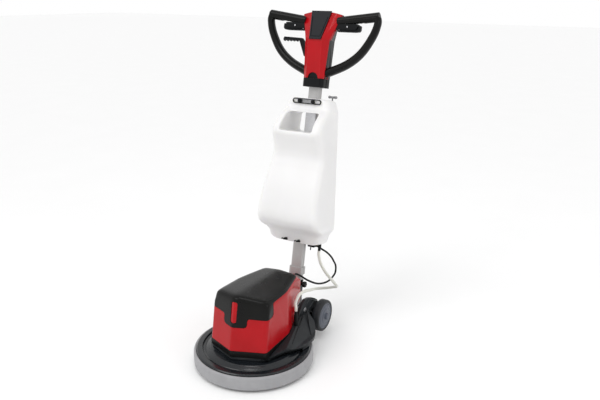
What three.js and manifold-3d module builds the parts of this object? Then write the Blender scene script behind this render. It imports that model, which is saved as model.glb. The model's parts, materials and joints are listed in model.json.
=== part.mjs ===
// Rotary floor machine: a 17 inch single disc scrubber with a tilting handle column and a solution tank.
// Millimetres, +Z up. The origin is on the floor at the axis of the disc, the machine faces -Y,
// and the operator stands behind it at +Y.
import * as THREE from "three";
import { mergeVertices } from "three/addons/utils/BufferGeometryUtils.js";
import Module from "manifold-3d";

const wasm = await Module();
wasm.setup();

// Driving dimensions
const GAP = 0.3; // between pieces that touch

// Disc and deck
const BUMPER_RADIUS = 231;
const BUMPER_WALL = 10;
const BUMPER_BOTTOM = 9;
const BUMPER_TOP = 63;
const PAD_RADIUS = 204;
const PAD_HEIGHT = 25;
const DECK_TOP = 80;
const CHASSIS_TOP = 92;
const MOTOR_OPENING = 96;

// Gears of module 1.25 with 12, 30 and 72 teeth, as their pitch radii
const SUN_RADIUS = 7.5;
const PLANET_RADIUS = 18.75;
const RING_RADIUS = 45;
const GEAR_BOTTOM = 64;
const GEAR_TOP = 78;
const PLANET_PIN = 5;

// Motor
const MOTOR_RADIUS = 80;
const MOTOR_WALL = 5;
const MOTOR_TOP = 206;
const SHAFT_RADIUS = 9;
const STATOR_BOTTOM = 104;
const STATOR_TOP = 184;
const ROTOR_RADIUS = 49;
const FAN_BLADES = 6;

// Hood
const HOOD_SEAM = 118; // where the red shell meets the black base frame
const HOOD_FRONT_SPLIT = 241; // where the black shell meets the red one on the front faces
const HOOD_SIDE_SPLIT = 291;
const HOOD_RIDGE = 318;
const HOOD_WALL = 4;
const HOOD_REAR = 194;
const HOOD_TAIL = 262;
const ROOF_FALL = 2; // degrees, from front to back
const TONGUE_HALF = 50;
const TONGUE_BOTTOM = 206;
const STRIP_HALF = 12.8;
const STRIP_BOTTOM = 221;
const STRIP_TOP = 299;

// Running gear
const PIVOT_Y = 309.5;
const PIVOT_Z = 88;
const REST_TILT = THREE.MathUtils.degToRad(10.7);
const AXLE_RADIUS = 8;
const AXLE_END = 158;
const WHEEL_RADIUS = 66;
const HUB_RADIUS = 54;
const WHEEL_INNER = 120;
const WHEEL_OUTER = 154;
const BRACKET_INNER = 95;
const BRACKET_OUTER = 107;
const TIE_BOLT = [214, 146];
const TIE_RADIUS = 6;
const QUADRANT_RADIUS = 70;

// Column
const TUBE_WIDTH = 50;
const TUBE_DEPTH = 30;
const TUBE_WALL = 2;
const TUBE_BOTTOM = 126;
const TUBE_TOP = 1020;
const FOOT_KNOB_HEIGHT = 110;
const LOCK_ROD_Y = 8;
const LOCK_ROD_TOP = 1066;
const LEVER_PIVOT = [30, 0, 1056];

// Tank
const TANK_BACK = 40;
const TANK_BOTTOM = 293;
const TANK_TOP = 883;
const TANK_WALL = 4;
const FILLER = [-84, 700];
const STRAP_FRONT = -62;
const STRAP_HEIGHT = 870;
const SCREW_HEIGHT = 306;
const VALVE_ROD_TOP = [73, 17, 896];
const VALVE_ROD_BOTTOM = [44, 17, 257];

// Console and handles
const CONSOLE_BOTTOM = 964;
const CONSOLE_WAIST = 1117;
const CONSOLE_TOP = 1222;
const CONSOLE_REAR = 40;
const FACE_THICKNESS = 4;
const CLAMP_BOTTOM = 929;
const BUTTON_HEIGHT = 1150;
const BUTTON_RADIUS = 9;
const GRIP_START = [70, 1191];
const GRIP_END = [235, 1213];
const GRIP_RADIUS = 19;
const BOW_TOP = { thick: 26, deep: 36 };
const BOW_FOOT = { thick: 36, deep: 50 };
const SWITCH_PIVOT = [80, 1160];

// Cords
const CABLE_RADIUS = 4;
const CABLE_ENTRY = [40, 240, 272];
const HOSE_RADIUS = 6;
const HOSE_INLET = [117, 123];
const INLET_RADIUS = 8;
const INLET_TOP = 184;

// Finishes
const finish = (color, roughness, metalness = 0) =>
  new THREE.MeshStandardMaterial({ color, roughness, metalness });
const redGloss = finish(0xb01018, 0.25);
const blackGloss = finish(0x101214, 0.25);
const blackSatin = finish(0x1e2022, 0.5);
const darkGrey = finish(0x2c2f33, 0.55);
const bumperGrey = finish(0x9a9a9e, 0.6);
const wheelGrey = finish(0x4a4d54, 0.6);
const steel = finish(0xc4c4c6, 0.3, 0.9);
const darkSteel = finish(0x6c6e72, 0.35, 0.9);
const castIron = finish(0x55585c, 0.6, 0.6);
const copper = finish(0x8a5a30, 0.5, 0.6);
const tankWhite = finish(0xf1f1ef, 0.4);
const hoseWhite = finish(0xe4e4dc, 0.45);
const padFibre = finish(0x20211f, 0.95);

// Solids

// The signed volume tells which way the faces point.
function volumeOf(positions, triangles) {
  const corner = (i) => new THREE.Vector3().fromArray(positions, 3 * triangles[i]);
  let volume = 0;
  for (let i = 0; i < triangles.length; i += 3) {
    volume += corner(i).dot(corner(i + 1).cross(corner(i + 2))) / 6;
  }
  return volume;
}

function solid(geometry) {
  const bare = geometry.index ? geometry.toNonIndexed() : geometry.clone();
  bare.deleteAttribute("normal");
  bare.deleteAttribute("uv");
  const merged = mergeVertices(bare, 1e-4);
  const vertProperties = new Float32Array(merged.attributes.position.array);
  const triVerts = new Uint32Array(merged.index.array);
  if (volumeOf(vertProperties, triVerts) < 0) {
    triVerts.reverse();
  }
  return new wasm.Manifold(new wasm.Mesh({ numProp: 3, vertProperties, triVerts }));
}

function geometryOf(body) {
  const mesh = body.getMesh();
  return new THREE.BufferGeometry()
    .setAttribute("position", new THREE.BufferAttribute(mesh.vertProperties, 3))
    .setIndex(new THREE.BufferAttribute(mesh.triVerts, 1));
}

const cut = (first, ...others) =>
  others.reduce((body, other) => body.subtract(other), first);
const join = (first, ...others) => others.reduce((body, other) => body.add(other), first);

function place(group, name, body, material) {
  const geometry = body.isBufferGeometry ? body : geometryOf(body);
  const mesh = new THREE.Mesh(geometry, material);
  mesh.name = name;
  group.add(mesh);
}

// A box between two corners.
function block(low, high) {
  const size = high.map((value, i) => value - low[i]);
  const middle = high.map((value, i) => (value + low[i]) / 2);
  return solid(new THREE.BoxGeometry(...size).translate(...middle));
}

// A round bar between two points.
function bar(from, to, radius, sides = 24) {
  const start = new THREE.Vector3(...from);
  const along = new THREE.Vector3(...to).sub(start);
  const turn = new THREE.Quaternion().setFromUnitVectors(
    new THREE.Vector3(0, 1, 0),
    along.clone().normalize(),
  );
  const geometry = new THREE.CylinderGeometry(radius, radius, along.length(), sides)
    .applyQuaternion(turn)
    .translate(...start.addScaledVector(along, 0.5).toArray());
  return solid(geometry);
}

// A solid of revolution about Z; the outline is a list of [radius, height].
function turned(outline, sides = 36) {
  const points = outline.map(([radius, height]) => new THREE.Vector2(radius, height));
  return solid(new THREE.LatheGeometry(points, sides).rotateX(Math.PI / 2));
}

// A tube wall of revolution between two radii.
function sleeve(inner, outer, bottom, top, sides = 36) {
  return turned(
    [
      [outer, bottom],
      [outer, top],
      [inner, top],
      [inner, bottom],
      [outer, bottom],
    ],
    sides,
  );
}

const turnedToX = (body) => body.rotate([0, 90, 0]);

function shapeOf(outline) {
  return new THREE.Shape(outline.map(([x, y]) => new THREE.Vector2(x, y)));
}

const extruded = (shape, depth) =>
  new THREE.ExtrudeGeometry(shape, { depth, bevelEnabled: false, curveSegments: 8 });

// A flat outline in X and Y, raised from one height to another.
const plate = (outline, bottom, top) =>
  solid(extruded(shapeOf(outline), top - bottom).translate(0, 0, bottom));

// An outline of [y, z] that runs across from one x to another.
const acrossX = (outline, low, high) =>
  solid(
    extruded(shapeOf(outline), high - low)
      .rotateX(Math.PI / 2)
      .rotateZ(Math.PI / 2)
      .translate(low, 0, 0),
  );

// An outline of [x, z] that runs backwards from one y to another.
const alongY = (outline, low, high) =>
  solid(
    extruded(shapeOf(outline), high - low)
      .rotateX(Math.PI / 2)
      .translate(0, high, 0),
  );

// A skin through rings of points that all have the same count, closed by flat ends.
function loft(rings) {
  const count = rings[0].length;
  const positions = rings.flat(2);
  const index = [];
  for (let r = 0; r + 1 < rings.length; r++) {
    for (let i = 0; i < count; i++) {
      const next = (i + 1) % count;
      const low = r * count;
      const high = low + count;
      index.push(low + i, low + next, high + next, low + i, high + next, high + i);
    }
  }
  const lid = THREE.ShapeUtils.triangulateShape(
    rings[0].map(([x, y]) => new THREE.Vector2(x, y)),
    [],
  );
  const last = (rings.length - 1) * count;
  for (const [a, b, c] of lid) {
    index.push(c, b, a, last + a, last + b, last + c);
  }
  const geometry = new THREE.BufferGeometry();
  geometry.setAttribute("position", new THREE.Float32BufferAttribute(positions, 3));
  geometry.setIndex(index);
  return solid(geometry);
}

// A smooth line of [a, b] points through the given ones.
function smooth(points, steps) {
  const line = new THREE.SplineCurve(points.map(([a, b]) => new THREE.Vector2(a, b)));
  return line.getPoints(steps).map((point) => [point.x, point.y]);
}

const mirrored = (outline) => outline.map(([x, y]) => [-x, y]).reverse();

// A rounded section swept along a curve.
function swept(section, curve, steps) {
  return new THREE.ExtrudeGeometry(section, {
    extrudePath: curve,
    steps,
    bevelEnabled: false,
    curveSegments: 3,
  });
}

function roundSection(radius, sides) {
  const points = [];
  for (let i = 0; i < sides; i++) {
    const angle = (2 * Math.PI * i) / sides;
    points.push(new THREE.Vector2(radius * Math.cos(angle), radius * Math.sin(angle)));
  }
  return new THREE.Shape(points);
}

// Disc, drive and deck

function addDisc(group) {
  const pad = turned([[0, 0], [PAD_RADIUS, 0], [PAD_RADIUS, PAD_HEIGHT], [0, PAD_HEIGHT]], 56);
  place(group, "floor_pad", pad, padFibre);
  const driver = turned([
    [0, PAD_HEIGHT + GAP],
    [PAD_RADIUS - 6, PAD_HEIGHT + GAP],
    [PAD_RADIUS - 6, 38],
    [70, 42],
    [40, 46],
    [0, 46],
  ]);
  place(group, "pad_driver", driver, darkGrey);
}

function addDeck(group) {
  const outer = BUMPER_RADIUS;
  const inner = outer - BUMPER_WALL;
  const bumper = turned(
    [
      [outer - 3, BUMPER_BOTTOM],
      [outer, BUMPER_BOTTOM + 3],
      [outer, BUMPER_TOP - 4],
      [outer - 4, BUMPER_TOP],
      [inner, BUMPER_TOP],
      [inner, BUMPER_BOTTOM],
      [outer - 3, BUMPER_BOTTOM],
    ],
    56,
  );
  place(group, "bumper_ring", bumper, bumperGrey);

  const rim = inner - GAP;
  const deck = turned(
    [
      [rim, 24],
      [rim, 65],
      [rim - 4, 69],
      [198, 69],
      [193, 63],
      [186, 62],
      [181, 67],
      [169, 71],
      [142, 77],
      [130, DECK_TOP],
      [60, DECK_TOP],
      [60, DECK_TOP - 8],
      [124, DECK_TOP - 8],
      [164, 61],
      [184, 55],
      [rim - 8, 56],
      [rim - 8, 24],
      [rim, 24],
    ],
    56,
  );
  place(group, "deck", deck, darkGrey);
}

// The cast saddle follows the hood at the front and spreads sideways into an arm on each side.
function chassisOutline() {
  const arm = [
    [138, -66],
    [158, -22],
    [176, 5],
    [188, 36],
    [196, 75],
    [199, 112],
    [192, 142],
    [176, 178],
    [150, 217],
  ];
  const prow = [[0, -152], [115, -107], [127, -97]];
  const heel = [[107.6, 237], [107.6, 208], [88, 208]];
  const side = [...prow, ...smooth(arm, 16), ...heel];
  return [...side, ...mirrored(side.slice(1))];
}

// What lies below the two slopes of both arms: outwards to the rim and forwards to the prow.
function armSlopes() {
  const across = alongY([[0, 191.7], [0, 60], [210, 60], [210, 74.5]], -200, 300);
  const forward = acrossX([[-200, 77.5], [-200, 60], [300, 60], [300, 150]], 0, 210);
  const right = across.intersect(forward);
  return join(right, right.scale([-1, 1, 1]));
}

function addChassis(group) {
  const outline = chassisOutline();
  const rearRoom = block([-250, 208, 0], [250, 300, 200]);
  const saddle = cut(plate(outline, DECK_TOP + GAP, CHASSIS_TOP), rearRoom);
  const hoodRoom = plate(hoodFlat(-1), CHASSIS_TOP, 200);
  const bracketRoom = block(
    [-BRACKET_OUTER - GAP, 156, CHASSIS_TOP],
    [BRACKET_OUTER + GAP, 300, 200],
  );
  const [inletX, inletY] = HOSE_INLET;
  const inletRoom = bar([inletX, inletY, CHASSIS_TOP], [inletX, inletY, 200], INLET_RADIUS + GAP, 20);
  const arms = plate(outline, DECK_TOP + GAP, 160).intersect(armSlopes());
  const fitted = cut(arms, hoodRoom, bracketRoom, inletRoom);
  const rim = sleeve(196, 224, 72, CHASSIS_TOP - 6, 72).intersect(plate(outline, 60, 100));
  const opening = bar([0, 0, 0], [0, 0, 200], MOTOR_OPENING, 48);
  place(group, "chassis", cut(join(saddle, fitted, rim), opening), blackSatin);
}

// Motor and gearbox

function addGearbox(group) {
  const housing = turned([
    [95, CHASSIS_TOP - 11],
    [95, CHASSIS_TOP],
    [22, CHASSIS_TOP],
    [22, CHASSIS_TOP - 8],
    [56, CHASSIS_TOP - 8],
    [56, 60],
    [59.5, 60],
    [59.5, CHASSIS_TOP - 11],
    [95, CHASSIS_TOP - 11],
  ]);
  const ringGear = sleeve(RING_RADIUS, 57, GEAR_BOTTOM, GEAR_TOP);
  place(group, "gearbox_housing", join(housing, ringGear), castIron);

  const centres = planetCentres();
  const hub = turned([
    [0, 46 + GAP],
    [36, 46 + GAP],
    [36, 52],
    [18, 52],
    [18, 57],
    [40, 57],
    [40, 61],
    [0, 61],
  ]);
  const pins = centres.map(([x, y]) => bar([x, y, 60], [x, y, GEAR_TOP], PLANET_PIN, 16));
  place(group, "planet_carrier", join(hub, ...pins), castIron);

  const planet = sleeve(PLANET_PIN + GAP, PLANET_RADIUS - GAP, GEAR_BOTTOM, GEAR_TOP, 32);
  centres.forEach(([x, y], i) => {
    place(group, `planet_gear_${i + 1}`, planet.translate([x, y, 0]), castIron);
  });
}

function planetCentres() {
  const reach = SUN_RADIUS + PLANET_RADIUS;
  return [90, 210, 330]
    .map((degrees) => THREE.MathUtils.degToRad(degrees))
    .map((angle) => [reach * Math.cos(angle), reach * Math.sin(angle)]);
}

function addMotor(group) {
  const bore = MOTOR_RADIUS - MOTOR_WALL;
  const lid = MOTOR_TOP - 6;
  const shell = turned([
    [MOTOR_RADIUS, CHASSIS_TOP + GAP],
    [MOTOR_RADIUS, lid],
    [bore, lid],
    [bore, CHASSIS_TOP + 6],
    [22, CHASSIS_TOP + 6],
    [22, CHASSIS_TOP + GAP],
    [MOTOR_RADIUS, CHASSIS_TOP + GAP],
  ]);
  place(group, "motor_shell", shell, castIron);
  place(group, "stator", sleeve(ROTOR_RADIUS + 1, bore - GAP, STATOR_BOTTOM, STATOR_TOP), copper);
  const shield = turned([
    [MOTOR_RADIUS, lid + GAP],
    [MOTOR_RADIUS, MOTOR_TOP],
    [18, MOTOR_TOP],
    [18, MOTOR_TOP - 12],
    [24, MOTOR_TOP - 12],
    [24, lid + GAP],
    [MOTOR_RADIUS, lid + GAP],
  ]);
  place(group, "motor_end_shield", shield, castIron);

  const capacitor = turned([[0, 0], [22, 0], [22, 96], [0, 96]], 32);
  place(group, "start_capacitor", capacitor.translate([-42, 128, CHASSIS_TOP + GAP]), blackGloss);
}

// The shaft carries the rotor core and the fan, and its lower end is the sun gear.
function addRotor(group) {
  const shaft = turned(
    [
      [0, GEAR_BOTTOM],
      [SUN_RADIUS - GAP, GEAR_BOTTOM],
      [SUN_RADIUS - GAP, GEAR_TOP],
      [SHAFT_RADIUS, GEAR_TOP + 4],
      [SHAFT_RADIUS, MOTOR_TOP + 24],
      [0, MOTOR_TOP + 24],
    ],
    24,
  );
  const core = sleeve(SHAFT_RADIUS - 1, ROTOR_RADIUS, STATOR_BOTTOM + 2, STATOR_TOP - 2);
  place(group, "motor_rotor", join(shaft, core), steel);

  const fanBottom = MOTOR_TOP + 5;
  const hub = sleeve(SHAFT_RADIUS + GAP, 20, fanBottom, fanBottom + 14, 24);
  const disc = sleeve(18, 66, fanBottom, fanBottom + 3);
  const blade = block([19, -1, fanBottom + 2], [64, 1, fanBottom + 14]);
  const blades = [];
  for (let i = 0; i < FAN_BLADES; i++) {
    blades.push(blade.rotate([0, 0, (360 / FAN_BLADES) * i]));
  }
  place(group, "cooling_fan", join(hub, disc, ...blades), blackSatin);
}

// Hood

// The hood's outline at a height: a prow, two front corners, straight flanks and a tapered tail.
function hoodOutline(height, inset) {
  const rise = (height - HOOD_SEAM) / 200;
  const prow = -158 + 34 * rise + inset * 1.1;
  const cornerX = 125 - 4 * rise - inset;
  const cornerY = -109 + 28 * rise + inset * 0.6;
  const flank = 124 - 6 * rise - inset;
  const half = [
    [0, prow],
    [cornerX - 8, cornerY - 3],
    [cornerX, cornerY + 4],
    [flank, cornerY + 30],
    [flank - 2, 60 - inset * 0.3],
    [66 - inset, HOOD_TAIL - 10],
    [57 - inset, HOOD_TAIL - inset],
  ];
  return [...half, ...mirrored(half.slice(1))].map(([x, y]) => [x, y, height]);
}

const hoodFlat = (inset) => hoodOutline(HOOD_SEAM, inset).map(([x, y]) => [x, y]);

// The roof falls from a ridge to rounded shoulders over both flanks, and a little towards the tail.
function roof(drop) {
  const eaves = HOOD_RIDGE - 15 - drop;
  const shoulder = [[134, 70], [134, eaves - 32], [123, eaves - 13], [114, eaves - 4], [102, eaves + 1]];
  const outline = [...shoulder, [0, HOOD_RIDGE - drop], ...mirrored(shoulder)];
  return alongY(outline, -200, 300).rotate([-ROOF_FALL, 0, 0]);
}

// Seen from the side the hood stands on its base, overhangs the tie bolt and slopes down at the tail.
function hoodSide(inset) {
  const outline = [
    [-200, 80],
    [HOOD_REAR - inset, 80],
    [HOOD_REAR - inset, 153 + inset],
    [HOOD_TAIL - inset, 153 + inset],
    [HOOD_TAIL - inset, 246 - inset],
    [HOOD_REAR + 6 - inset, 303 - inset],
    [HOOD_REAR + 6 - inset, 340],
    [-200, 340],
  ];
  return acrossX(outline, -200, 200);
}

function hoodShell() {
  const form = (bottom, inset) =>
    loft([hoodOutline(bottom, inset), hoodOutline(340, inset)])
      .intersect(roof(inset))
      .intersect(hoodSide(inset));
  return form(HOOD_SEAM, 0).subtract(form(HOOD_SEAM - 10, HOOD_WALL));
}

// The space that the black shell fills: the front above the split, the tongue and the roof.
function blackZone(grow) {
  const front = block([-200, -240, HOOD_FRONT_SPLIT - grow], [200, -48 + grow, 400]);
  const half = TONGUE_HALF + grow;
  const tongue = block([-half, -240, TONGUE_BOTTOM - grow], [half, -90, 300]);
  const top = block([-200, -240, HOOD_SIDE_SPLIT - grow], [200, 240, 400]);
  return join(front, tongue, top);
}

function addHood(group) {
  const frame = cut(
    plate(hoodFlat(0), CHASSIS_TOP + GAP, HOOD_SEAM - GAP).intersect(hoodSide(0)),
    plate(hoodFlat(7), CHASSIS_TOP - 5, HOOD_SEAM + 5).intersect(hoodSide(7)),
  );
  place(group, "hood_base_frame", frame, blackGloss);

  const shell = hoodShell();
  const slot = block([-STRIP_HALF, -240, STRIP_BOTTOM], [STRIP_HALF, -90, STRIP_TOP]);
  const [glandX, glandY, glandZ] = CABLE_ENTRY;
  const gland = bar([glandX, glandY - 24, glandZ], CABLE_ENTRY, 8, 20);
  place(group, "hood_lower_shell", join(cut(shell, blackZone(GAP)), gland), redGloss);
  place(group, "hood_upper_shell", cut(shell.intersect(blackZone(0)), slot), blackSatin);

  const wedge = loft([hoodOutline(HOOD_SEAM, -1), hoodOutline(340, -1)]);
  const behind = loft([hoodOutline(HOOD_SEAM, 3), hoodOutline(340, 3)]);
  const half = STRIP_HALF - GAP;
  const strip = block([-half, -240, STRIP_BOTTOM + GAP], [half, -90, STRIP_TOP - GAP]);
  place(group, "hood_trim_strip", cut(strip.intersect(wedge), behind), redGloss);
}

// Rear brackets, axle and wheels

function bracketOutline() {
  const round = [];
  for (let i = 0; i <= 8; i++) {
    const angle = THREE.MathUtils.degToRad(-110 + 20 * i);
    round.push([PIVOT_Y + 24 * Math.cos(angle), PIVOT_Z + 24 * Math.sin(angle)]);
  }
  const saddle = CHASSIS_TOP + GAP;
  const foot = [[157, saddle], [212, saddle], [252, 76]];
  const crown = [
    [333, 134],
    [318, 150],
    [287, 169],
    [250, 184],
    [216, 190],
    [194, 178],
    [166, 150],
  ];
  return [...foot, ...round, ...crown];
}

function addRunningGear(group) {
  const axleBar = (from, to, radius) =>
    bar([from, PIVOT_Y, PIVOT_Z], [to, PIVOT_Y, PIVOT_Z], radius);
  const axle = join(
    axleBar(-AXLE_END, AXLE_END, AXLE_RADIUS),
    axleBar(25 + GAP, BRACKET_INNER - GAP, 13),
    axleBar(GAP - BRACKET_INNER, -25 - GAP, 13),
  );
  place(group, "wheel_axle", axle, steel);
  const axleBore = axleBar(-170, 170, AXLE_RADIUS + GAP);
  const tieBar = (from, to, radius) => bar([from, ...TIE_BOLT], [to, ...TIE_BOLT], radius, 16);
  const tieBore = tieBar(-170, 170, TIE_RADIUS + GAP);
  const tieBolt = join(
    tieBar(-110, 110, TIE_RADIUS),
    tieBar(BRACKET_OUTER + GAP, 111, 10),
    tieBar(-111, -BRACKET_OUTER - GAP, 10),
  );
  place(group, "tie_bolt", tieBolt, steel);

  for (const [side, sign] of [["left", -1], ["right", 1]]) {
    const span = [sign * BRACKET_INNER, sign * BRACKET_OUTER].sort((a, b) => a - b);
    const bracket = cut(acrossX(bracketOutline(), ...span), axleBore, tieBore);
    place(group, `wheel_bracket_${side}`, bracket, blackSatin);
    addWheel(group, side, sign);
  }
}

function addWheel(group, side, sign) {
  const tyre = turned([
    [HUB_RADIUS, WHEEL_INNER],
    [WHEEL_RADIUS - 5, WHEEL_INNER],
    [WHEEL_RADIUS, WHEEL_INNER + 6],
    [WHEEL_RADIUS, WHEEL_OUTER - 6],
    [WHEEL_RADIUS - 5, WHEEL_OUTER],
    [HUB_RADIUS, WHEEL_OUTER],
    [HUB_RADIUS, WHEEL_INNER],
  ]);
  // The face of the hub is slightly domed and ends in a cap over the axle.
  const hub = turned([
    [AXLE_RADIUS + GAP, WHEEL_INNER - 6],
    [18, WHEEL_INNER - 6],
    [18, WHEEL_INNER + 8],
    [HUB_RADIUS - GAP, WHEEL_INNER + 8],
    [HUB_RADIUS - GAP, WHEEL_OUTER - 2],
    [HUB_RADIUS - 6, WHEEL_OUTER],
    [14, WHEEL_OUTER + 4],
    [14, AXLE_END + 6],
    [10, AXLE_END + 9],
    [0, AXLE_END + 9],
    [0, AXLE_END + GAP],
    [AXLE_RADIUS + GAP, AXLE_END + GAP],
    [AXLE_RADIUS + GAP, WHEEL_INNER - 6],
  ]);
  const set = (body) => turnedToX(body).scale([sign, 1, 1]).translate([0, PIVOT_Y, PIVOT_Z]);
  place(group, `wheel_${side}_tyre`, set(tyre), wheelGrey);
  place(group, `wheel_${side}_hub`, set(hub), wheelGrey);
}

// The quadrant stands between the cheeks of the column foot; its rim is an arc about the axle.
function addQuadrant(group) {
  const arc = [];
  for (let i = 0; i <= 12; i++) {
    const angle = THREE.MathUtils.degToRad(98 - (i * 108) / 12);
    arc.push([PIVOT_Y + QUADRANT_RADIUS * Math.cos(angle), PIVOT_Z + QUADRANT_RADIUS * Math.sin(angle)]);
  }
  const saddle = CHASSIS_TOP + GAP;
  const foot = [[PIVOT_Y, PIVOT_Z - 18], [268, 80], [213, saddle], [197, saddle], [197, 104], [262, 116]];
  const outline = [...arc, ...foot];
  const bore = bar([-20, PIVOT_Y, PIVOT_Z], [20, PIVOT_Y, PIVOT_Z], AXLE_RADIUS + GAP);
  place(group, "lock_quadrant", cut(acrossX(outline.reverse(), -4, 4), bore), steel);
}

// Column: x across, y backwards and z up along the tube, from the pivot

function roundedRectangle(width, depth, radius) {
  const shape = new THREE.Shape();
  const x = width / 2;
  const y = depth / 2;
  shape.moveTo(-x + radius, -y);
  shape.lineTo(x - radius, -y);
  shape.absarc(x - radius, -y + radius, radius, -Math.PI / 2, 0);
  shape.absarc(x - radius, y - radius, radius, 0, Math.PI / 2);
  shape.absarc(-x + radius, y - radius, radius, Math.PI / 2, Math.PI);
  shape.absarc(-x + radius, -y + radius, radius, Math.PI, 1.5 * Math.PI);
  return shape;
}

function roundedBar(width, depth, radius, bottom, top) {
  const geometry = new THREE.ExtrudeGeometry(roundedRectangle(width, depth, radius), {
    depth: top - bottom,
    bevelEnabled: false,
    curveSegments: 4,
  });
  return solid(geometry.translate(0, 0, bottom));
}

function addColumn(group) {
  const boreWidth = TUBE_WIDTH - 2 * TUBE_WALL;
  const boreDepth = TUBE_DEPTH - 2 * TUBE_WALL;
  const tube = cut(
    roundedBar(TUBE_WIDTH, TUBE_DEPTH, 6, TUBE_BOTTOM, TUBE_TOP),
    roundedBar(boreWidth, boreDepth, 4, TUBE_BOTTOM - 5, TUBE_TOP + 5),
  );
  place(group, "column_tube", tube, steel);

  const cheekGap = block([-7, -60, -40], [7, 60, 90]);
  const plug = roundedBar(boreWidth - 2 * GAP, boreDepth - 2 * GAP, 3.5, 110, 175);
  const foot = join(block([-25, -19, -22], [25, 19, TUBE_BOTTOM - GAP]), plug);
  const axleBore = bar([-40, 0, 0], [40, 0, 0], AXLE_RADIUS + GAP);
  const rodBore = bar([0, LOCK_ROD_Y, 60], [0, LOCK_ROD_Y, 200], 4, 16);
  place(group, "column_foot", cut(foot, cheekGap, axleBore, rodBore), castIron);

  const collar = cut(roundedBar(60, 40, 8, 150, 182), tubeRoom(140, 200));
  place(group, "column_collar", collar, steel);

  const knob = join(
    bar([25 + GAP, 0, FOOT_KNOB_HEIGHT], [36, 0, FOOT_KNOB_HEIGHT], 6, 16),
    bar([35, 0, FOOT_KNOB_HEIGHT], [48, 0, FOOT_KNOB_HEIGHT], 13, 20),
  );
  place(group, "foot_clamp_knob", knob, blackSatin);
}

// The hole that goes round the tube in a piece that sits on it.
const tubeRoom = (bottom, top) =>
  roundedBar(TUBE_WIDTH + 2 * GAP, TUBE_DEPTH + 2 * GAP, 6, bottom, top);

// The rod ends in a shoe on the quadrant below and in a block under the lever above.
function addLockRod(group) {
  const rod = join(
    bar([0, LOCK_ROD_Y, 76], [0, LOCK_ROD_Y, LOCK_ROD_TOP], 3.5, 12),
    block([-6, 2, QUADRANT_RADIUS + 1], [6, 14, 80]),
    block([-5, -7, LOCK_ROD_TOP - 2], [5, 11.5, LOCK_ROD_TOP + 5]),
  );
  place(group, "lock_rod", rod, steel);
}

// Tank

// The front of the tank from the side, as [depth, height]: sump, belly, waist, brow and neck.
const TANK_FRONT = [
  [-60, 296],
  [-66, 312],
  [-84, 342],
  [-136, 374],
  [-154, 421],
  [-142, 520],
  [-112, 610],
  [-104, 657],
  [-122, 706],
  [-143, 745],
  [-132, 778],
  [-96, 816],
  [-68, 838],
  [-61, 862],
  [-60, TANK_TOP],
];

// Side profile of [depth, height], offset inwards by an inset.
function tankProfile(inset) {
  const bottom = TANK_BOTTOM + inset;
  const top = TANK_TOP - inset;
  const front = smooth(TANK_FRONT, 36).map(([y, z]) => [
    y + inset,
    Math.min(Math.max(z, bottom), top),
  ]);
  const back = [[TANK_BACK - inset, top], [TANK_BACK - inset, 345], [TANK_BACK - 8 - inset, bottom]];
  return [...front, ...back];
}

// Front outline of [half width, height]: narrow sump, wide belly, tapering shoulders.
function tankOutline(inset) {
  const sump = [[96, TANK_BOTTOM + inset], [117, 306], [122, 330], [130, 346], [140, 364], [139, 400]];
  const neck = [[104, 838], [96, 858], [84, TANK_TOP - inset]];
  const half = [...smooth(sump, 10), ...neck].map(([x, z]) => [x - inset, z]);
  return [...half, ...mirrored(half)];
}

function tankBody(inset) {
  const sideways = acrossX(tankProfile(inset).reverse(), -200, 200);
  return sideways.intersect(alongY(tankOutline(inset), -200, 200));
}

// Everything that passes through or stands in the tank, grown by a wall.
function tankRecesses(grow) {
  const channel = block([-29 - grow, -18 - grow, 200], [29 + grow, 100, 1000]);
  const hangerPocket = block([-49 - grow, -22 - grow, 690 - grow], [49 + grow, 100, 1000]);
  const right = [[74 + grow, 748 - grow], [70 + grow, 826 + grow]];
  const hand = alongY([...right, ...mirrored(right)], -220, 100);
  return join(channel, hangerPocket, hand);
}

const valveRodBar = (radius) => bar(VALVE_ROD_TOP, VALVE_ROD_BOTTOM, radius, 12);

function addTank(group) {
  const hollow = cut(tankBody(TANK_WALL), tankRecesses(TANK_WALL));
  const [fillerX, fillerZ] = FILLER;
  const fillerBar = (from, to, radius) =>
    bar([fillerX, from, fillerZ], [fillerX, to, fillerZ], radius, 28);
  const filler = fillerBar(20, 60, 17);
  const tank = cut(tankBody(0), tankRecesses(0), hollow, filler, valveRodBar(3.2));
  place(group, "solution_tank", tank, tankWhite);

  const cap = join(
    fillerBar(TANK_BACK + GAP, TANK_BACK + 14, 21),
    fillerBar(TANK_BACK - 8, TANK_BACK + 1, 16.5),
  );
  place(group, "tank_filler_cap", cap, blackSatin);
}

// The tank hangs on a plate on the tube and is held by a strap above and two screws below.
function addTankHolders(group) {
  const hanger = join(
    block([-22, -21.6, 700], [22, -15 - GAP, 860]),
    block([-44, -21.6, 852], [44, -15 - GAP, 878]),
  );
  place(group, "tank_hanger_plate", hanger, steel);

  const upright = (body, x) => body.rotate([90, 0, 0]).translate([x, STRAP_FRONT, STRAP_HEIGHT]);
  const strap = upright(roundedBar(128, 21, 10, 0, 4), 0);
  const slots = [-44, 44].map((x) => upright(roundedBar(32, 10, 4.5, -20, 20), x));
  const knobs = [-30, 30].map((x) =>
    bar([x, STRAP_FRONT, STRAP_HEIGHT], [x, STRAP_FRONT - 14, STRAP_HEIGHT], 8, 16),
  );
  place(group, "tank_clamp_strap", join(cut(strap, ...slots), ...knobs), darkSteel);

  for (const [name, x] of [["left", -30], ["right", 30]]) {
    const stub = bar([x, -67, SCREW_HEIGHT], [x, -80, SCREW_HEIGHT], 5, 12);
    const wings = block([x - 13, -88, SCREW_HEIGHT - 5], [x + 13, -78, SCREW_HEIGHT + 5]);
    place(group, `tank_wing_screw_${name}`, join(stub, wings), blackGloss);
  }
}

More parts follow.
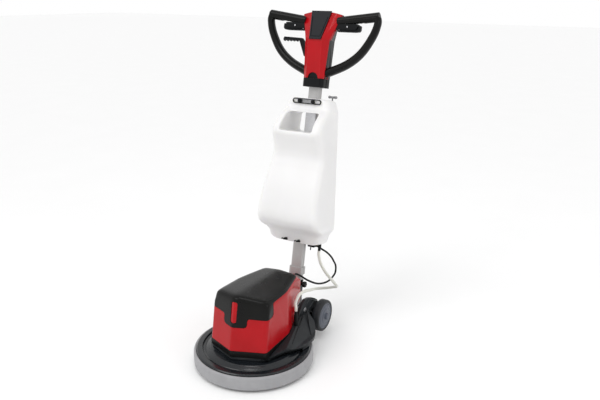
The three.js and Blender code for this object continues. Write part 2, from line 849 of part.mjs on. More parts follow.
function addValve(group) {
  const body = join(
    block([34, 6, 272], [64, 28, TANK_BOTTOM - GAP]),
    bar([60, 17, 282], [86, 17, 282], 7, 16),
    bar([85, 17, 289], [85, 17, 262], 7, 16),
  );
  place(group, "solution_valve", cut(body, valveRodBar(3.2)), darkGrey);
  const [x, y, z] = VALVE_ROD_TOP;
  const knob = bar([x - 19, y, z], [x + 19, y, z], 6, 16);
  place(group, "valve_pull_rod", join(valveRodBar(2.5), knob), steel);
}

// Console and handles

// Half widths and depths of the console at a height: flat middle, slanting facets, rear.
function consoleSection(height) {
  const keys = [
    { z: CONSOLE_BOTTOM, flat: 30, flatY: -37, edge: 45, edgeY: -27, rear: 40 },
    { z: CONSOLE_WAIST, flat: 30, flatY: -48, edge: 54, edgeY: -29, rear: 44 },
    { z: CONSOLE_TOP, flat: 48, flatY: -10, edge: 88, edgeY: 0, rear: 62 },
  ];
  const [a, b] = height < CONSOLE_WAIST ? keys.slice(0, 2) : keys.slice(1);
  const t = (height - a.z) / (b.z - a.z);
  const mixed = {};
  for (const key of ["flat", "flatY", "edge", "edgeY", "rear"]) {
    mixed[key] = THREE.MathUtils.lerp(a[key], b[key], t);
  }
  return mixed;
}

// The console's outer form, grown outwards or shrunk inwards, between two heights.
function consoleBody(grow, bottom = CONSOLE_BOTTOM, top = CONSOLE_TOP) {
  const ring = (height) => {
    const s = consoleSection(Math.max(height, CONSOLE_BOTTOM));
    return [
      [0, s.flatY - grow],
      [s.flat + grow / 2, s.flatY - grow],
      [s.edge + grow, s.edgeY - grow],
      [s.edge + grow, s.edgeY + 16],
      [s.rear + grow, CONSOLE_REAR + grow],
      [0, CONSOLE_REAR + grow],
    ].map(([x, y]) => [x, y, height]);
  };
  const half = loft([bottom, CONSOLE_WAIST, top].map(ring));
  return join(half, half.scale([-1, 1, 1]));
}

function addConsole(group) {
  const notch = bar([0, -80, CONSOLE_BOTTOM], [0, 20, CONSOLE_BOTTOM], 23, 24);
  const body = consoleBody(0);
  const face = body.subtract(body.translate([0, FACE_THICKNESS, 0]));
  place(group, "console_face", cut(face, notch), redGloss);

  const outer = body.intersect(body.translate([0, FACE_THICKNESS + GAP, 0]));
  const hollow = consoleBody(-4, CONSOLE_BOTTOM - 2, CONSOLE_TOP - 4);
  const front = block([-200, -100, 900], [200, -18, 1300]);
  const slot = block([-90, -9, 1040], [-30, 6, 1084]);
  const bezel = buttonBar(CONSOLE_REAR - 2, CONSOLE_REAR + 5, 14);
  const bore = buttonBar(20, 70, BUTTON_RADIUS);
  const housing = cut(join(outer, bezel), hollow.subtract(front), slot, bore);
  place(group, "console_housing", housing, blackSatin);
  const button = buttonBar(CONSOLE_REAR + 1, CONSOLE_REAR + 9, BUTTON_RADIUS - GAP);
  place(group, "interlock_button", button, redGloss);

  const insert = loft([CONSOLE_WAIST - 2, CONSOLE_WAIST, CONSOLE_TOP + 8].map(insertRing));
  place(group, "console_insert", insert, blackGloss);

  const clamp = roundedBar(92, 80, 18, CLAMP_BOTTOM, CONSOLE_BOTTOM - GAP);
  place(group, "column_clamp", cut(clamp, tubeRoom(900, 1000)), blackSatin);

  place(group, "switch_module", block([-34, -12, 1126], [34, 24, 1186]), darkGrey);
  const gland = bar([0, CONSOLE_REAR + 4, 1010], [0, CONSOLE_REAR + 20, 1004], 9, 20);
  place(group, "mains_cable_gland", gland, blackSatin);
}

const buttonBar = (from, to, radius) =>
  bar([0, from, BUTTON_HEIGHT], [0, to, BUTTON_HEIGHT], radius, 24);

// The insert lies on the flat middle of the console face.
function insertRing(height) {
  const section = consoleSection(Math.min(height, CONSOLE_TOP));
  const half = section.flat - 4;
  const back = section.flatY - GAP;
  return [
    [-half, back - 4, height],
    [half, back - 4, height],
    [half, back, height],
    [-half, back, height],
  ];
}

// The bow runs from the outer end of the grip down to the console, and deepens on the way.
function bow() {
  const line = [[236, 1212], [239, 1188], [224, 1139], [183, 1073], [124, 1025], [42, 988]];
  const curve = new THREE.CatmullRomCurve3(line.map(([x, z]) => new THREE.Vector3(x, 0, z)));
  const steps = 18;
  const rings = [];
  for (let i = 0; i <= steps; i++) {
    const t = i / steps;
    const centre = curve.getPointAt(t);
    const along = curve.getTangentAt(t);
    const thick = THREE.MathUtils.lerp(BOW_TOP.thick, BOW_FOOT.thick, t) / 2;
    const deep = THREE.MathUtils.lerp(BOW_TOP.deep, BOW_FOOT.deep, t) / 2;
    const ring = [];
    for (let angle = 0; angle < 360; angle += 20) {
      const across = thick * Math.cos(THREE.MathUtils.degToRad(angle));
      const y = deep * Math.sin(THREE.MathUtils.degToRad(angle));
      ring.push([centre.x - along.z * across, y, centre.z + along.x * across]);
    }
    rings.push(ring);
  }
  return loft(rings);
}

function addHandle(group, side, sign) {
  const set = (body) => body.scale([sign, 1, 1]);
  const envelope = consoleBody(2 * GAP);
  const switchBody = (grow) =>
    block([60, -13 - grow, 1160 - grow], [160 + grow, 13 + grow, 1183 + grow]);

  const [endX, endZ] = GRIP_END;
  const grip = bar([GRIP_START[0], 0, GRIP_START[1]], [endX, 0, endZ], GRIP_RADIUS);
  const corner = solid(new THREE.SphereGeometry(GRIP_RADIUS + 1, 20, 12).translate(endX, 0, endZ));
  const fingerSlot = block([60, -9.5, 1150], [182, 9.5, 1193]);
  const base = block([0, -60, 900], [46 + GAP, 60, 1000]);
  const whole = join(bow(), grip, corner);
  const handle = cut(whole, envelope, base, switchBody(GAP), fingerSlot);
  place(group, `handle_${side}`, set(handle), blackGloss);

  const leverSlot = block([50, -9, 1150], [200, 9, 1177]);
  const housing = cut(switchBody(0), leverSlot, envelope);
  place(group, `switch_housing_${side}`, set(housing), blackSatin);
  place(group, `switch_lever_${side}`, set(switchLever()), blackSatin);
}

function switchLever() {
  const blade = [[74, 1152], [150, 1152], [167, 1154], [172, 1160], [172, 1178]];
  const hook = [[164, 1178], [159, 1164], [74, 1164]];
  const [x, z] = SWITCH_PIVOT;
  return join(alongY([...blade, ...hook], -8, 8), bar([x, -8.7, z], [x, 8.7, z], 2.5, 12));
}

// A rocker on a pin: squeezing its finger bar lifts the tail over the head of the lock rod.
function addLockLever(group) {
  const [x, , z] = LEVER_PIVOT;
  const tail = [[x + 2, z - 9], [x + 9, z - 2], [x + 6, z + 7], [-48, z + 7], [-57, z + 12]];
  const fingerBar = [[-72, 1112], [-80, 1122], [-166, 1125], [-170, 1114], [-164, 1107], [-92, 1105]];
  const heel = [[-66, 1050], [-56, z - 8]];
  const pin = bar([x, -13, z], [x, 35, z], 3, 16);
  const rocker = alongY([...tail, ...fingerBar, ...heel], -7, 4);
  place(group, "tilt_release_lever", join(rocker, pin), blackSatin);
}

// Cords

const columnPoint = ([x, y, z]) => [
  x,
  PIVOT_Y + z * Math.sin(REST_TILT) + y * Math.cos(REST_TILT),
  PIVOT_Z + z * Math.cos(REST_TILT) - y * Math.sin(REST_TILT),
];

function cord(points, radius, steps) {
  const curve = new THREE.CatmullRomCurve3(points.map((point) => new THREE.Vector3(...point)));
  return solid(swept(roundSection(radius, 8), curve, steps));
}

function addCords(group, column) {
  place(column, "column_cable_gland", bar([0, 15 + GAP, 310], [0, 29, 310], 8, 20), blackSatin);
  const cable = [
    columnPoint([0, 29 + GAP, 310]),
    columnPoint([0, 44, 310]),
    [3, 423, 378],
    [14, 440, 357],
    [30, 451, 335],
    [50, 461, 315],
    [70, 474, 298],
    [85, 488, 276],
    [92, 502, 251],
    [98, 512, 225],
    [101, 503, 198],
    [100, 478, 185],
    [103, 449, 185],
    [104, 419, 188],
    [100, 390, 192],
    [96, 362, 200],
    [94, 336, 211],
    [89, 311, 225],
    [72, 292, 240],
    [51, 278, 258],
    [41, 259, 271],
    [40, 240 + GAP, 272],
  ];
  place(group, "motor_cable", cord(cable, CABLE_RADIUS, 44), blackSatin);

  const [x, y] = HOSE_INLET;
  const inlet = join(
    bar([x, y, CHASSIS_TOP + GAP], [x, y, INLET_TOP - 12], INLET_RADIUS, 20),
    bar([x, y, INLET_TOP - 13], [x, y, INLET_TOP], 5.5, 20),
  );
  place(group, "hose_inlet", inlet, darkGrey);
  const hose = [
    columnPoint([85, 17, 262 - GAP]),
    columnPoint([85, 17, 245]),
    [90, 376, 293],
    [97, 388, 263],
    [108, 401, 234],
    [123, 414, 208],
    [136, 430, 181],
    [133, 453, 158],
    [109, 472, 142],
    [78, 469, 132],
    [52, 448, 132],
    [44, 416, 140],
    [51, 385, 153],
    [65, 357, 168],
    [81, 331, 183],
    [96, 304, 198],
    [111, 276, 213],
    [123, 247, 227],
    [130, 216, 239],
    [127, 183, 248],
    [116, 151, 242],
    [113, 127, 217],
    [x, y, 200],
    [x, y, INLET_TOP + GAP],
  ];
  place(group, "solution_hose", cord(hose, HOSE_RADIUS, 44), hoseWhite);
}

// The whole machine

const machine = new THREE.Group();
const column = new THREE.Group();
machine.add(column);
column.position.set(0, PIVOT_Y, PIVOT_Z);
column.rotation.x = -REST_TILT;

addDisc(machine);
addDeck(machine);
addChassis(machine);
addGearbox(machine);
addMotor(machine);
addRotor(machine);
addHood(machine);
addRunningGear(machine);
addQuadrant(machine);
addColumn(column);
addLockRod(column);
addTank(column);
addTankHolders(column);
addValve(column);
addConsole(column);
addHandle(column, "left", -1);
addHandle(column, "right", 1);
addLockLever(column);
addCords(machine, column);

export default machine;
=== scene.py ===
"""Looks of the rotary floor machine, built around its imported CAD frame. Shapes are in millimetres."""
import json
from math import cos, pi, radians, sin, sqrt, tan

import bmesh
import bpy
from mathutils import Matrix, Vector

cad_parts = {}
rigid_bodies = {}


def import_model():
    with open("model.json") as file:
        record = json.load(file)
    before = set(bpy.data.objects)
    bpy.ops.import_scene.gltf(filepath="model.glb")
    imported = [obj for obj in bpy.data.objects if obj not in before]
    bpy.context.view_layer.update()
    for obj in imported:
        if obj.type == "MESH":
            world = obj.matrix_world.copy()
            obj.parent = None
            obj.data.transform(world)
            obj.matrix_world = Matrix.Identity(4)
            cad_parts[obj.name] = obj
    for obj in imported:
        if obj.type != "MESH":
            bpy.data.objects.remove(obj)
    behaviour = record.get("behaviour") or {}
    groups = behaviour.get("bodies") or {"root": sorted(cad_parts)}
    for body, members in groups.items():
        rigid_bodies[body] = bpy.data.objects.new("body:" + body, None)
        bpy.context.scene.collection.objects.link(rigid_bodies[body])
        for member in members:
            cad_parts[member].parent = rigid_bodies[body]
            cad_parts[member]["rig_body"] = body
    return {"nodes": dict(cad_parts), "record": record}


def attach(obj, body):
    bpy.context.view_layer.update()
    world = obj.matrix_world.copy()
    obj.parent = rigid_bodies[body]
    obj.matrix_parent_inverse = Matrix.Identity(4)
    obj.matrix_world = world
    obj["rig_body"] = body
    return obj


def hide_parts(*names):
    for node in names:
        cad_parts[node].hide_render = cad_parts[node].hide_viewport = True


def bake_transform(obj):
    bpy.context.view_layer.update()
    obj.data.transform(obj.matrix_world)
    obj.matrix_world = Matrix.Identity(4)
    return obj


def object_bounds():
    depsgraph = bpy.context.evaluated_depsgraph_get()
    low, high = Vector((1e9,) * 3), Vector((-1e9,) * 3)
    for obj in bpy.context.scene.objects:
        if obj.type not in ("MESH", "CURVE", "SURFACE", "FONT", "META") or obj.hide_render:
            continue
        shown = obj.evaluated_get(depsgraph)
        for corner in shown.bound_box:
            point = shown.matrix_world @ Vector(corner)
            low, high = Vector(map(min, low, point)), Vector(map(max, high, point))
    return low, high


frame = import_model()
cad_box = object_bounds()
MM = 0.001


def joint(name):
    return next(j for j in frame["record"]["behaviour"]["joints"] if j["name"] == name)


# The handle column's own frame: x across, y backwards, z up along the tube, from the axle.
PIVOT = Vector(joint("column_tilt")["pos_m"])
UP = Vector(joint("lock_rod_lift")["axis"]).normalized()
BACK = Vector(joint("tilt_release_squeeze")["axis"]).normalized()
COLUMN = Matrix.Translation(PIVOT) @ Matrix((Vector((1, 0, 0)), BACK, UP)).transposed().to_4x4()
WORLD = Matrix.Identity(4)
AXLE = (0, PIVOT.y / MM, PIVOT.z / MM)


def add_object(name, data):
    made = bpy.data.objects.new(name, data)
    bpy.context.scene.collection.objects.link(made)
    return made


# -------- camera

def add_camera():
    turn, dip, roll = (radians(angle) for angle in (28.89, 17.73, 0.58))
    ahead = Vector((-sin(turn) * cos(dip), cos(turn) * cos(dip), -sin(dip)))
    level = ahead.cross(Vector((0, 0, 1))).normalized()
    above = level.cross(ahead)
    right = cos(roll) * level + sin(roll) * above
    top = cos(roll) * above - sin(roll) * level
    data = bpy.data.cameras.new("camera")
    data.sensor_fit = "HORIZONTAL"
    data.sensor_width = 36
    data.lens = 39.08
    data.clip_start, data.clip_end = 0.05, 50
    camera = add_object("camera", data)
    facing = Matrix((right, top, -ahead)).transposed().to_4x4()
    camera.matrix_world = Matrix.Translation(Vector((1.2327, -1.8749, 1.3705))) @ facing
    bpy.context.scene.camera = camera


# -------- mesh code

def from_faces(name, points, faces, place=WORLD):
    mesh = bpy.data.meshes.new(name)
    mesh.from_pydata([place @ (Vector(p) * MM) for p in points], [], faces)
    work = bmesh.new()
    work.from_mesh(mesh)
    bmesh.ops.remove_doubles(work, verts=work.verts, dist=2e-6)
    bmesh.ops.recalc_face_normals(work, faces=work.faces)
    for face in work.faces:
        face.smooth = True
    work.to_mesh(mesh)
    work.free()
    return add_object(name, mesh)


def settle_modifiers(piece):
    """Turns a piece's modifiers into mesh."""
    graph = bpy.context.evaluated_depsgraph_get()
    made = bpy.data.meshes.new_from_object(piece.evaluated_get(graph))
    piece.modifiers.clear()
    old = piece.data
    piece.data = made
    bpy.data.meshes.remove(old)
    return piece


def soften(piece, width, steps=3, angle=28):
    """Rounds every edge sharper than the angle."""
    bevel = piece.modifiers.new("bevel", "BEVEL")
    bevel.width = width * MM
    bevel.segments = steps
    bevel.limit_method = "ANGLE"
    bevel.angle_limit = radians(angle)
    bevel.use_clamp_overlap = True
    bevel.miter_outer = "MITER_ARC"
    even = piece.modifiers.new("even", "WEIGHTED_NORMAL")
    even.keep_sharp = False
    return settle_modifiers(piece)


def discard(piece):
    spent = piece.data
    bpy.data.objects.remove(piece)
    bpy.data.meshes.remove(spent)


def combine(piece, other, how):
    """Joins or cuts a closed piece with another, which is used up."""
    step = piece.modifiers.new("combine", "BOOLEAN")
    step.operation = how
    step.solver = "EXACT"
    step.object = other
    settle_modifiers(piece)
    discard(other)
    return piece


def cut(piece, *others):
    for other in others:
        combine(piece, other, "DIFFERENCE")
    return piece


def keep(piece, *others):
    """Leaves of a piece what lies inside all the others."""
    for other in others:
        combine(piece, other, "INTERSECT")
    return piece


def join(piece, *others):
    for other in others:
        combine(piece, other, "UNION")
    return piece


def merge(piece, *others):
    """Puts several meshes into one piece without a boolean."""
    work = bmesh.new()
    work.from_mesh(piece.data)
    for other in others:
        work.from_mesh(other.data)
        discard(other)
    work.to_mesh(piece.data)
    work.free()
    return piece


def melt(piece, voxel, rounds):
    """Remeshes a closed piece finely and smooths it, so that its parts flow into each other."""
    remesh = piece.modifiers.new("remesh", "REMESH")
    remesh.mode = "VOXEL"
    remesh.voxel_size = voxel * MM
    remesh.use_smooth_shade = True
    smooth = piece.modifiers.new("smooth", "SMOOTH")
    smooth.factor = 0.5
    smooth.iterations = rounds
    return settle_modifiers(piece)


def fillet(outline, radius, steps=5):
    """Rounds the corners of a closed outline; radius is one number or one for each corner."""
    radii = [radius] * len(outline) if isinstance(radius, (int, float)) else radius
    points = []
    for i, corner in enumerate(outline):
        here = Vector(corner)
        before = Vector(outline[i - 1]) - here
        after = Vector(outline[(i + 1) % len(outline)]) - here
        angle = before.angle(after)
        if radii[i] <= 0 or angle > radians(178):
            points.append(tuple(here))
            continue
        reach = min(radii[i] / tan(angle / 2), 0.48 * before.length, 0.48 * after.length)
        start = here + before.normalized() * reach
        end = here + after.normalized() * reach
        for k in range(steps + 1):
            t = k / steps
            points.append(tuple(start * (1 - t) ** 2 + here * 2 * t * (1 - t) + end * t ** 2))
    return points


def lobed(radius, depth, lobes, centre=(0, 0), steps=8):
    """A round outline with soft lobes."""
    points = []
    for k in range(lobes * steps):
        angle = 2 * pi * k / (lobes * steps)
        r = radius - depth * (0.5 - 0.5 * cos(lobes * angle))
        points.append((centre[0] + r * cos(angle), centre[1] + r * sin(angle)))
    return points


def oval(thick, deep, sides=28):
    turns = [2 * pi * i / sides for i in range(sides)]
    return [(thick / 2 * cos(a), deep / 2 * sin(a)) for a in turns]


def spline(points, steps):
    """A smooth Catmull-Rom line through points of any size, with that many steps between two."""
    ends = [points[0]] + list(points) + [points[-1]]
    made = []
    for i in range(1, len(ends) - 2):
        p = [Vector(q) for q in ends[i - 1:i + 3]]
        for k in range(steps):
            t = k / steps
            made.append(tuple(0.5 * (2 * p[1] + (p[2] - p[0]) * t
                                     + (2 * p[0] - 5 * p[1] + 4 * p[2] - p[3]) * t ** 2
                                     + (3 * p[1] - p[0] - 3 * p[2] + p[3]) * t ** 3)))
    made.append(tuple(points[-1]))
    return made


def lathe(name, outline, sides, at=(0, 0, 0), axis="Z", place=WORLD, closed=True):
    """A solid of revolution from a closed outline of (radius, height)."""
    points, faces = [], []
    count = len(outline)
    for s in range(sides):
        c, d = cos(2 * pi * s / sides), sin(2 * pi * s / sides)
        for r, h in outline:
            point = {"Z": (r * c, r * d, h), "X": (h, r * c, r * d), "Y": (r * d, h, r * c)}[axis]
            points.append([a + b for a, b in zip(point, at)])
    for s in range(sides):
        t = (s + 1) % sides
        for i in range(count if closed else count - 1):
            j = (i + 1) % count
            faces.append((s * count + i, s * count + j, t * count + j, t * count + i))
    return from_faces(name, points, faces, place)


def turned(name, outline, sides, at=(0, 0, 0), axis="Z", place=WORLD):
    """A solid of revolution whose outline starts and ends on its axis."""
    return lathe(name, outline, sides, at, axis, place, closed=False)


def loft(name, rings, place=WORLD):
    """A closed solid through rings of the same number of points."""
    count = len(rings[0])
    faces = []
    for r in range(len(rings) - 1):
        for i in range(count):
            j = (i + 1) % count
            faces.append((r * count + i, r * count + j, (r + 1) * count + j, (r + 1) * count + i))
    faces.append(tuple(range(count))[::-1])
    faces.append(tuple((len(rings) - 1) * count + i for i in range(count)))
    return from_faces(name, [p for ring in rings for p in ring], faces, place)


def prism(name, outline, low, high, plane="XY", place=WORLD):
    """A flat outline raised from low to high across its plane."""
    def put(a, b, c):
        return {"XY": (a, b, c), "YZ": (c, a, b), "XZ": (a, c, b)}[plane]
    return loft(name, [[put(a, b, c) for a, b in outline] for c in (low, high)], place)


def block(name, low, high, place=WORLD):
    (a, b, c), (d, e, f) = low, high
    return prism(name, [(a, b), (d, b), (d, e), (a, e)], c, f, "XY", place)


def rod(name, start, end, radius, sides=40, place=WORLD):
    return sweep(name, [start, end], oval(2 * radius, 2 * radius, sides), place)


def sweep(name, path, section, place=WORLD, first=None):
    """A section, or one section for each point, carried along a path without twisting."""
    path = [Vector(p) for p in path]
    sections = section if isinstance(section[0], list) else [section] * len(path)
    last = len(path) - 1
    steps = [(path[min(i + 1, last)] - path[max(i - 1, 0)]).normalized() for i in range(last + 1)]
    side = Vector(first) if first else steps[0].orthogonal()
    side = (side - side.dot(steps[0]) * steps[0]).normalized()
    rings = []
    for i, (point, along) in enumerate(zip(path, steps)):
        if i:
            side = steps[i - 1].rotation_difference(along) @ side
            side = (side - side.dot(along) * along).normalized()
        other = along.cross(side)
        rings.append([point + side * a + other * b for a, b in sections[i]])
    return loft(name, rings, place)


def from_node(node, name):
    """The shape of a CAD node with its flat faces made whole again, to be worked on further."""
    mesh = frame["nodes"][node].data.copy()
    mesh.materials.clear()
    work = bmesh.new()
    work.from_mesh(mesh)
    bmesh.ops.remove_doubles(work, verts=work.verts, dist=2e-5)
    bmesh.ops.dissolve_limit(work, angle_limit=radians(1.5), verts=work.verts, edges=work.edges)
    bmesh.ops.recalc_face_normals(work, faces=work.faces)
    work.to_mesh(mesh)
    work.free()
    return add_object(name, mesh)


def ease(piece, weight, rounds):
    """Smooths a piece where the weight of a point in millimetres is above nothing."""
    group = piece.vertex_groups.new(name="ease")
    for vertex in piece.data.vertices:
        group.add([vertex.index], min(1, max(0, weight(vertex.co / MM))), "REPLACE")
    smooth = piece.modifiers.new("ease", "SMOOTH")
    smooth.factor = 0.5
    smooth.iterations = rounds
    smooth.vertex_group = "ease"
    return settle_modifiers(piece)


def mirror_x(piece, name):
    """A copy of a piece on the other side of the machine."""
    twin = add_object(name, piece.data.copy())
    work = bmesh.new()
    work.from_mesh(twin.data)
    for vertex in work.verts:
        vertex.co.x = -vertex.co.x
    bmesh.ops.reverse_faces(work, faces=work.faces)
    work.to_mesh(twin.data)
    work.free()
    return twin


# -------- materials

class Nodes:
    """A short way to write a node material."""

    def __init__(self, name):
        self.material = bpy.data.materials.new(name)
        self.material.use_nodes = True
        self.tree = self.material.node_tree
        self.shader = self.tree.nodes["Principled BSDF"]
        self.place = self.add("ShaderNodeTexCoord").outputs["Object"]

    def add(self, kind, **settings):
        node = self.tree.nodes.new(kind)
        for key, value in settings.items():
            setattr(node, key, value)
        return node

    def link(self, source, target):
        self.tree.links.new(source, target)

    def noise(self, scale, detail=4, stretch=(1, 1, 1), rough=0.55):
        mapping = self.add("ShaderNodeMapping")
        mapping.inputs["Scale"].default_value = stretch
        self.link(self.place, mapping.inputs["Vector"])
        noise = self.add("ShaderNodeTexNoise")
        noise.inputs["Scale"].default_value = scale
        noise.inputs["Detail"].default_value = detail
        noise.inputs["Roughness"].default_value = rough
        self.link(mapping.outputs["Vector"], noise.inputs["Vector"])
        return noise.outputs["Fac"]

    def spread(self, source, low, high, start=0.3, end=0.7):
        node = self.add("ShaderNodeMapRange")
        for key, value in (("From Min", start), ("From Max", end), ("To Min", low), ("To Max", high)):
            node.inputs[key].default_value = value
        self.link(source, node.inputs["Value"])
        return node.outputs["Result"]

    def blend(self, factor, first, second):
        node = self.add("ShaderNodeMix", data_type="RGBA")
        self.link(factor, node.inputs["Factor"])
        for socket, value in ((node.inputs[6], first), (node.inputs[7], second)):
            if isinstance(value, (tuple, list)):
                socket.default_value = (*value, 1)
            else:
                self.link(value, socket)
        return node.outputs[2]

    def bump(self, height, strength, distance, under=None):
        node = self.add("ShaderNodeBump")
        node.inputs["Strength"].default_value = strength
        node.inputs["Distance"].default_value = distance * MM
        self.link(height, node.inputs["Height"])
        if under is not None:
            self.link(under, node.inputs["Normal"])
        return node.outputs["Normal"]

    def set(self, **values):
        for key, value in values.items():
            socket = self.shader.inputs[key.replace("_", " ")]
            if hasattr(value, "is_linked") or hasattr(value, "links"):
                self.link(value, socket)
            else:
                socket.default_value = value
        return self.material


def moulded(name, colour, tone, rough, grain_depth=0.02, dust=0.12, shine=0.3):
    """Moulded plastic: cloudy colour, a fine moulded grain, and faint handling marks in the gloss."""
    n = Nodes(name)
    clouds = n.spread(n.noise(9, 3), 0, 1)
    handling = n.spread(n.noise(38, 6, rough=0.7), 0, 1, 0.5, 0.8)
    marked = n.add("ShaderNodeMath", operation="MULTIPLY_ADD")
    n.link(handling, marked.inputs[0])
    marked.inputs[1].default_value = dust
    marked.inputs[2].default_value = rough
    wave = n.bump(n.noise(22, 2), 0.06, 1.0)
    n.set(Base_Color=n.blend(clouds, colour, tone), Roughness=marked.outputs[0])
    return n.set(Normal=n.bump(n.noise(2600, 2), 0.35, grain_depth, wave), Specular_IOR_Level=shine)


def brushed(name, colour, tone, rough, stretch, metal=1.0):
    """Metal with fine lines along one direction, cloudy gloss and a few scratches."""
    n = Nodes(name)
    lines = n.noise(420, 3, stretch, 0.6)
    clouds = n.spread(n.noise(14, 4), 0, 1)
    scratches = n.spread(n.noise(90, 6, stretch, 0.75), 0, 1, 0.6, 0.72)
    base = n.blend(clouds, colour, tone)
    shaded = n.blend(scratches, base, tuple(0.7 * c for c in colour))
    n.set(Base_Color=shaded, Metallic=metal)
    n.set(Roughness=n.spread(lines, rough - 0.07, rough + 0.12))
    return n.set(Normal=n.bump(lines, 0.25, 0.03))


def enamelled(name, colour, tone, rough, ripple=60, coat=0.3, shine=0.3):
    """Stove enamel over a casting: a slight ripple, chips of tone and uneven gloss."""
    n = Nodes(name)
    clouds = n.spread(n.noise(12, 4), 0, 1)
    spots = n.spread(n.noise(150, 5, rough=0.7), 0, 1, 0.64, 0.72)
    base = n.blend(clouds, colour, tone)
    n.set(Base_Color=n.blend(spots, base, tuple(min(1, 1.6 * c) for c in tone)))
    n.set(Roughness=n.spread(n.noise(35, 5), rough - 0.06, rough + 0.1), Specular_IOR_Level=shine)
    under = n.bump(n.noise(ripple, 3), 0.16, 0.6)
    n.set(Normal=n.bump(n.noise(1500, 2), 0.2, 0.02, under))
    return n.set(Coat_Weight=coat, Coat_Roughness=0.12)


def cast_metal(name, colour, tone, rough):
    n = Nodes(name)
    skin = n.noise(420, 5, rough=0.65)
    n.set(Base_Color=n.blend(n.spread(n.noise(30, 4), 0, 1), colour, tone), Metallic=0.75)
    n.set(Roughness=n.spread(skin, rough - 0.1, rough + 0.15))
    return n.set(Normal=n.bump(skin, 0.5, 0.12))


def rubbery(name, colour, tone, rough, grain=900, shine=0.3):
    n = Nodes(name)
    bloom = n.spread(n.noise(20, 5, rough=0.65), 0, 1)
    scuff = n.spread(n.noise(120, 6, rough=0.75), 0, 1, 0.6, 0.7)
    base = n.blend(bloom, colour, tone)
    n.set(Base_Color=n.blend(scuff, base, tuple(0.75 * c for c in colour)))
    n.set(Roughness=n.spread(n.noise(60, 4), rough - 0.08, rough + 0.1), Specular_IOR_Level=shine)
    under = n.bump(n.noise(18, 2), 0.12, 1.0)
    return n.set(Normal=n.bump(n.noise(grain, 3), 0.35, 0.05, under))


def milky(name, colour, tone, rough, depth):
    """Natural polyethylene: light goes a little way in, with faint flow marks."""
    n = Nodes(name)
    clouds = n.spread(n.noise(5, 3), 0, 1)
    n.set(Base_Color=n.blend(clouds, colour, tone))
    n.set(Roughness=n.spread(n.noise(40, 5), rough - 0.05, rough + 0.08))
    under = n.bump(n.noise(11, 2, (1, 1, 0.4)), 0.16, 2.0)
    n.set(Normal=n.bump(n.noise(1400, 2), 0.2, 0.03, under))
    n.set(Subsurface_Weight=0.6, Subsurface_Scale=depth * MM)
    return n.set(Subsurface_Radius=(1.0, 1.0, 0.9))


def fibrous(name, colour, tone):
    """Coarse non-woven scouring fibre."""
    n = Nodes(name)
    strands = n.noise(260, 6, (1, 1, 2.5), 0.8)
    n.set(Base_Color=n.blend(n.spread(strands, 0, 1, 0.4, 0.6), colour, tone), Roughness=0.95)
    return n.set(Normal=n.bump(strands, 1.0, 1.2))


def wound(name):
    """Laminated steel with varnished copper turns."""
    n = Nodes(name)
    wave = n.add("ShaderNodeTexWave", bands_direction="Z")
    wave.inputs["Scale"].default_value = 260
    n.link(n.place, wave.inputs["Vector"])
    n.set(Base_Color=n.blend(wave.outputs["Fac"], (0.22, 0.2, 0.19), (0.4, 0.17, 0.06)), Metallic=0.7)
    n.set(Roughness=n.spread(n.noise(200), 0.35, 0.55))
    return n.set(Normal=n.bump(wave.outputs["Fac"], 0.6, 0.3))


LOOKS = {
    "bumper_grey": rubbery("bumper_grey", (0.35, 0.35, 0.36), (0.30, 0.30, 0.31), 0.5),
    "deck_grey": enamelled("deck_grey", (0.006, 0.008, 0.010), (0.011, 0.013, 0.016), 0.22),
    "chassis_black": enamelled(
        "chassis_black", (0.012, 0.014, 0.016), (0.022, 0.025, 0.028), 0.4, ripple=90, coat=0.05, shine=0.25),
    "hood_red": moulded("hood_red", (0.42, 0.0035, 0.008), (0.36, 0.003, 0.006), 0.2, dust=0.05, shine=0.2),
    "hood_black": moulded(
        "hood_black", (0.0035, 0.0035, 0.0033), (0.006, 0.006, 0.0055), 0.25, dust=0.06, shine=0.15),
    "panel_gloss": moulded(
        "panel_gloss", (0.004, 0.0045, 0.007), (0.006, 0.007, 0.010), 0.15, 0.01, dust=0.03, shine=0.1),
    "satin_black": moulded(
        "satin_black", (0.0035, 0.004, 0.0045), (0.007, 0.008, 0.009), 0.36, 0.05, dust=0.08, shine=0.14),
    "tank_white": milky("tank_white", (0.80, 0.795, 0.795), (0.765, 0.76, 0.76), 0.4, 30),
    "hose_white": milky("hose_white", (0.74, 0.74, 0.69), (0.64, 0.64, 0.59), 0.35, 4),
    "cable_black": rubbery("cable_black", (0.003, 0.003, 0.004), (0.006, 0.006, 0.007), 0.4, 1600, 0.12),
    # dark_steel's darker tone is painted reflection: it stands in for the dark surroundings that the polished
    # steel mirrors.
    "dark_steel": brushed("dark_steel", (0.24, 0.24, 0.245), (0.32, 0.32, 0.325), 0.3, (0.2, 1, 1)),
    "bright_steel": brushed("bright_steel", (0.55, 0.55, 0.56), (0.46, 0.46, 0.48), 0.32, (1, 1, 0.2)),
    "tube_steel": brushed("tube_steel", (0.50, 0.495, 0.49), (0.43, 0.425, 0.42), 0.5, (1, 1, 0.02), 0.45),
    "cast_iron": cast_metal("cast_iron", (0.035, 0.038, 0.04), (0.06, 0.062, 0.065), 0.5),
    "lamination": wound("lamination"),
    "wheel_rubber": rubbery("wheel_rubber", (0.016, 0.018, 0.021), (0.026, 0.028, 0.031), 0.5),
    "wheel_grey": moulded("wheel_grey", (0.080, 0.088, 0.112), (0.100, 0.112, 0.138), 0.4, 0.04),
    "pad_fibre": fibrous("pad_fibre", (0.004, 0.004, 0.004), (0.035, 0.035, 0.033)),
}


def accent(piece):
    """Gives the whole piece the second material of the piece it is merged into."""
    for polygon in piece.data.polygons:
        polygon.material_index = 1
    return piece


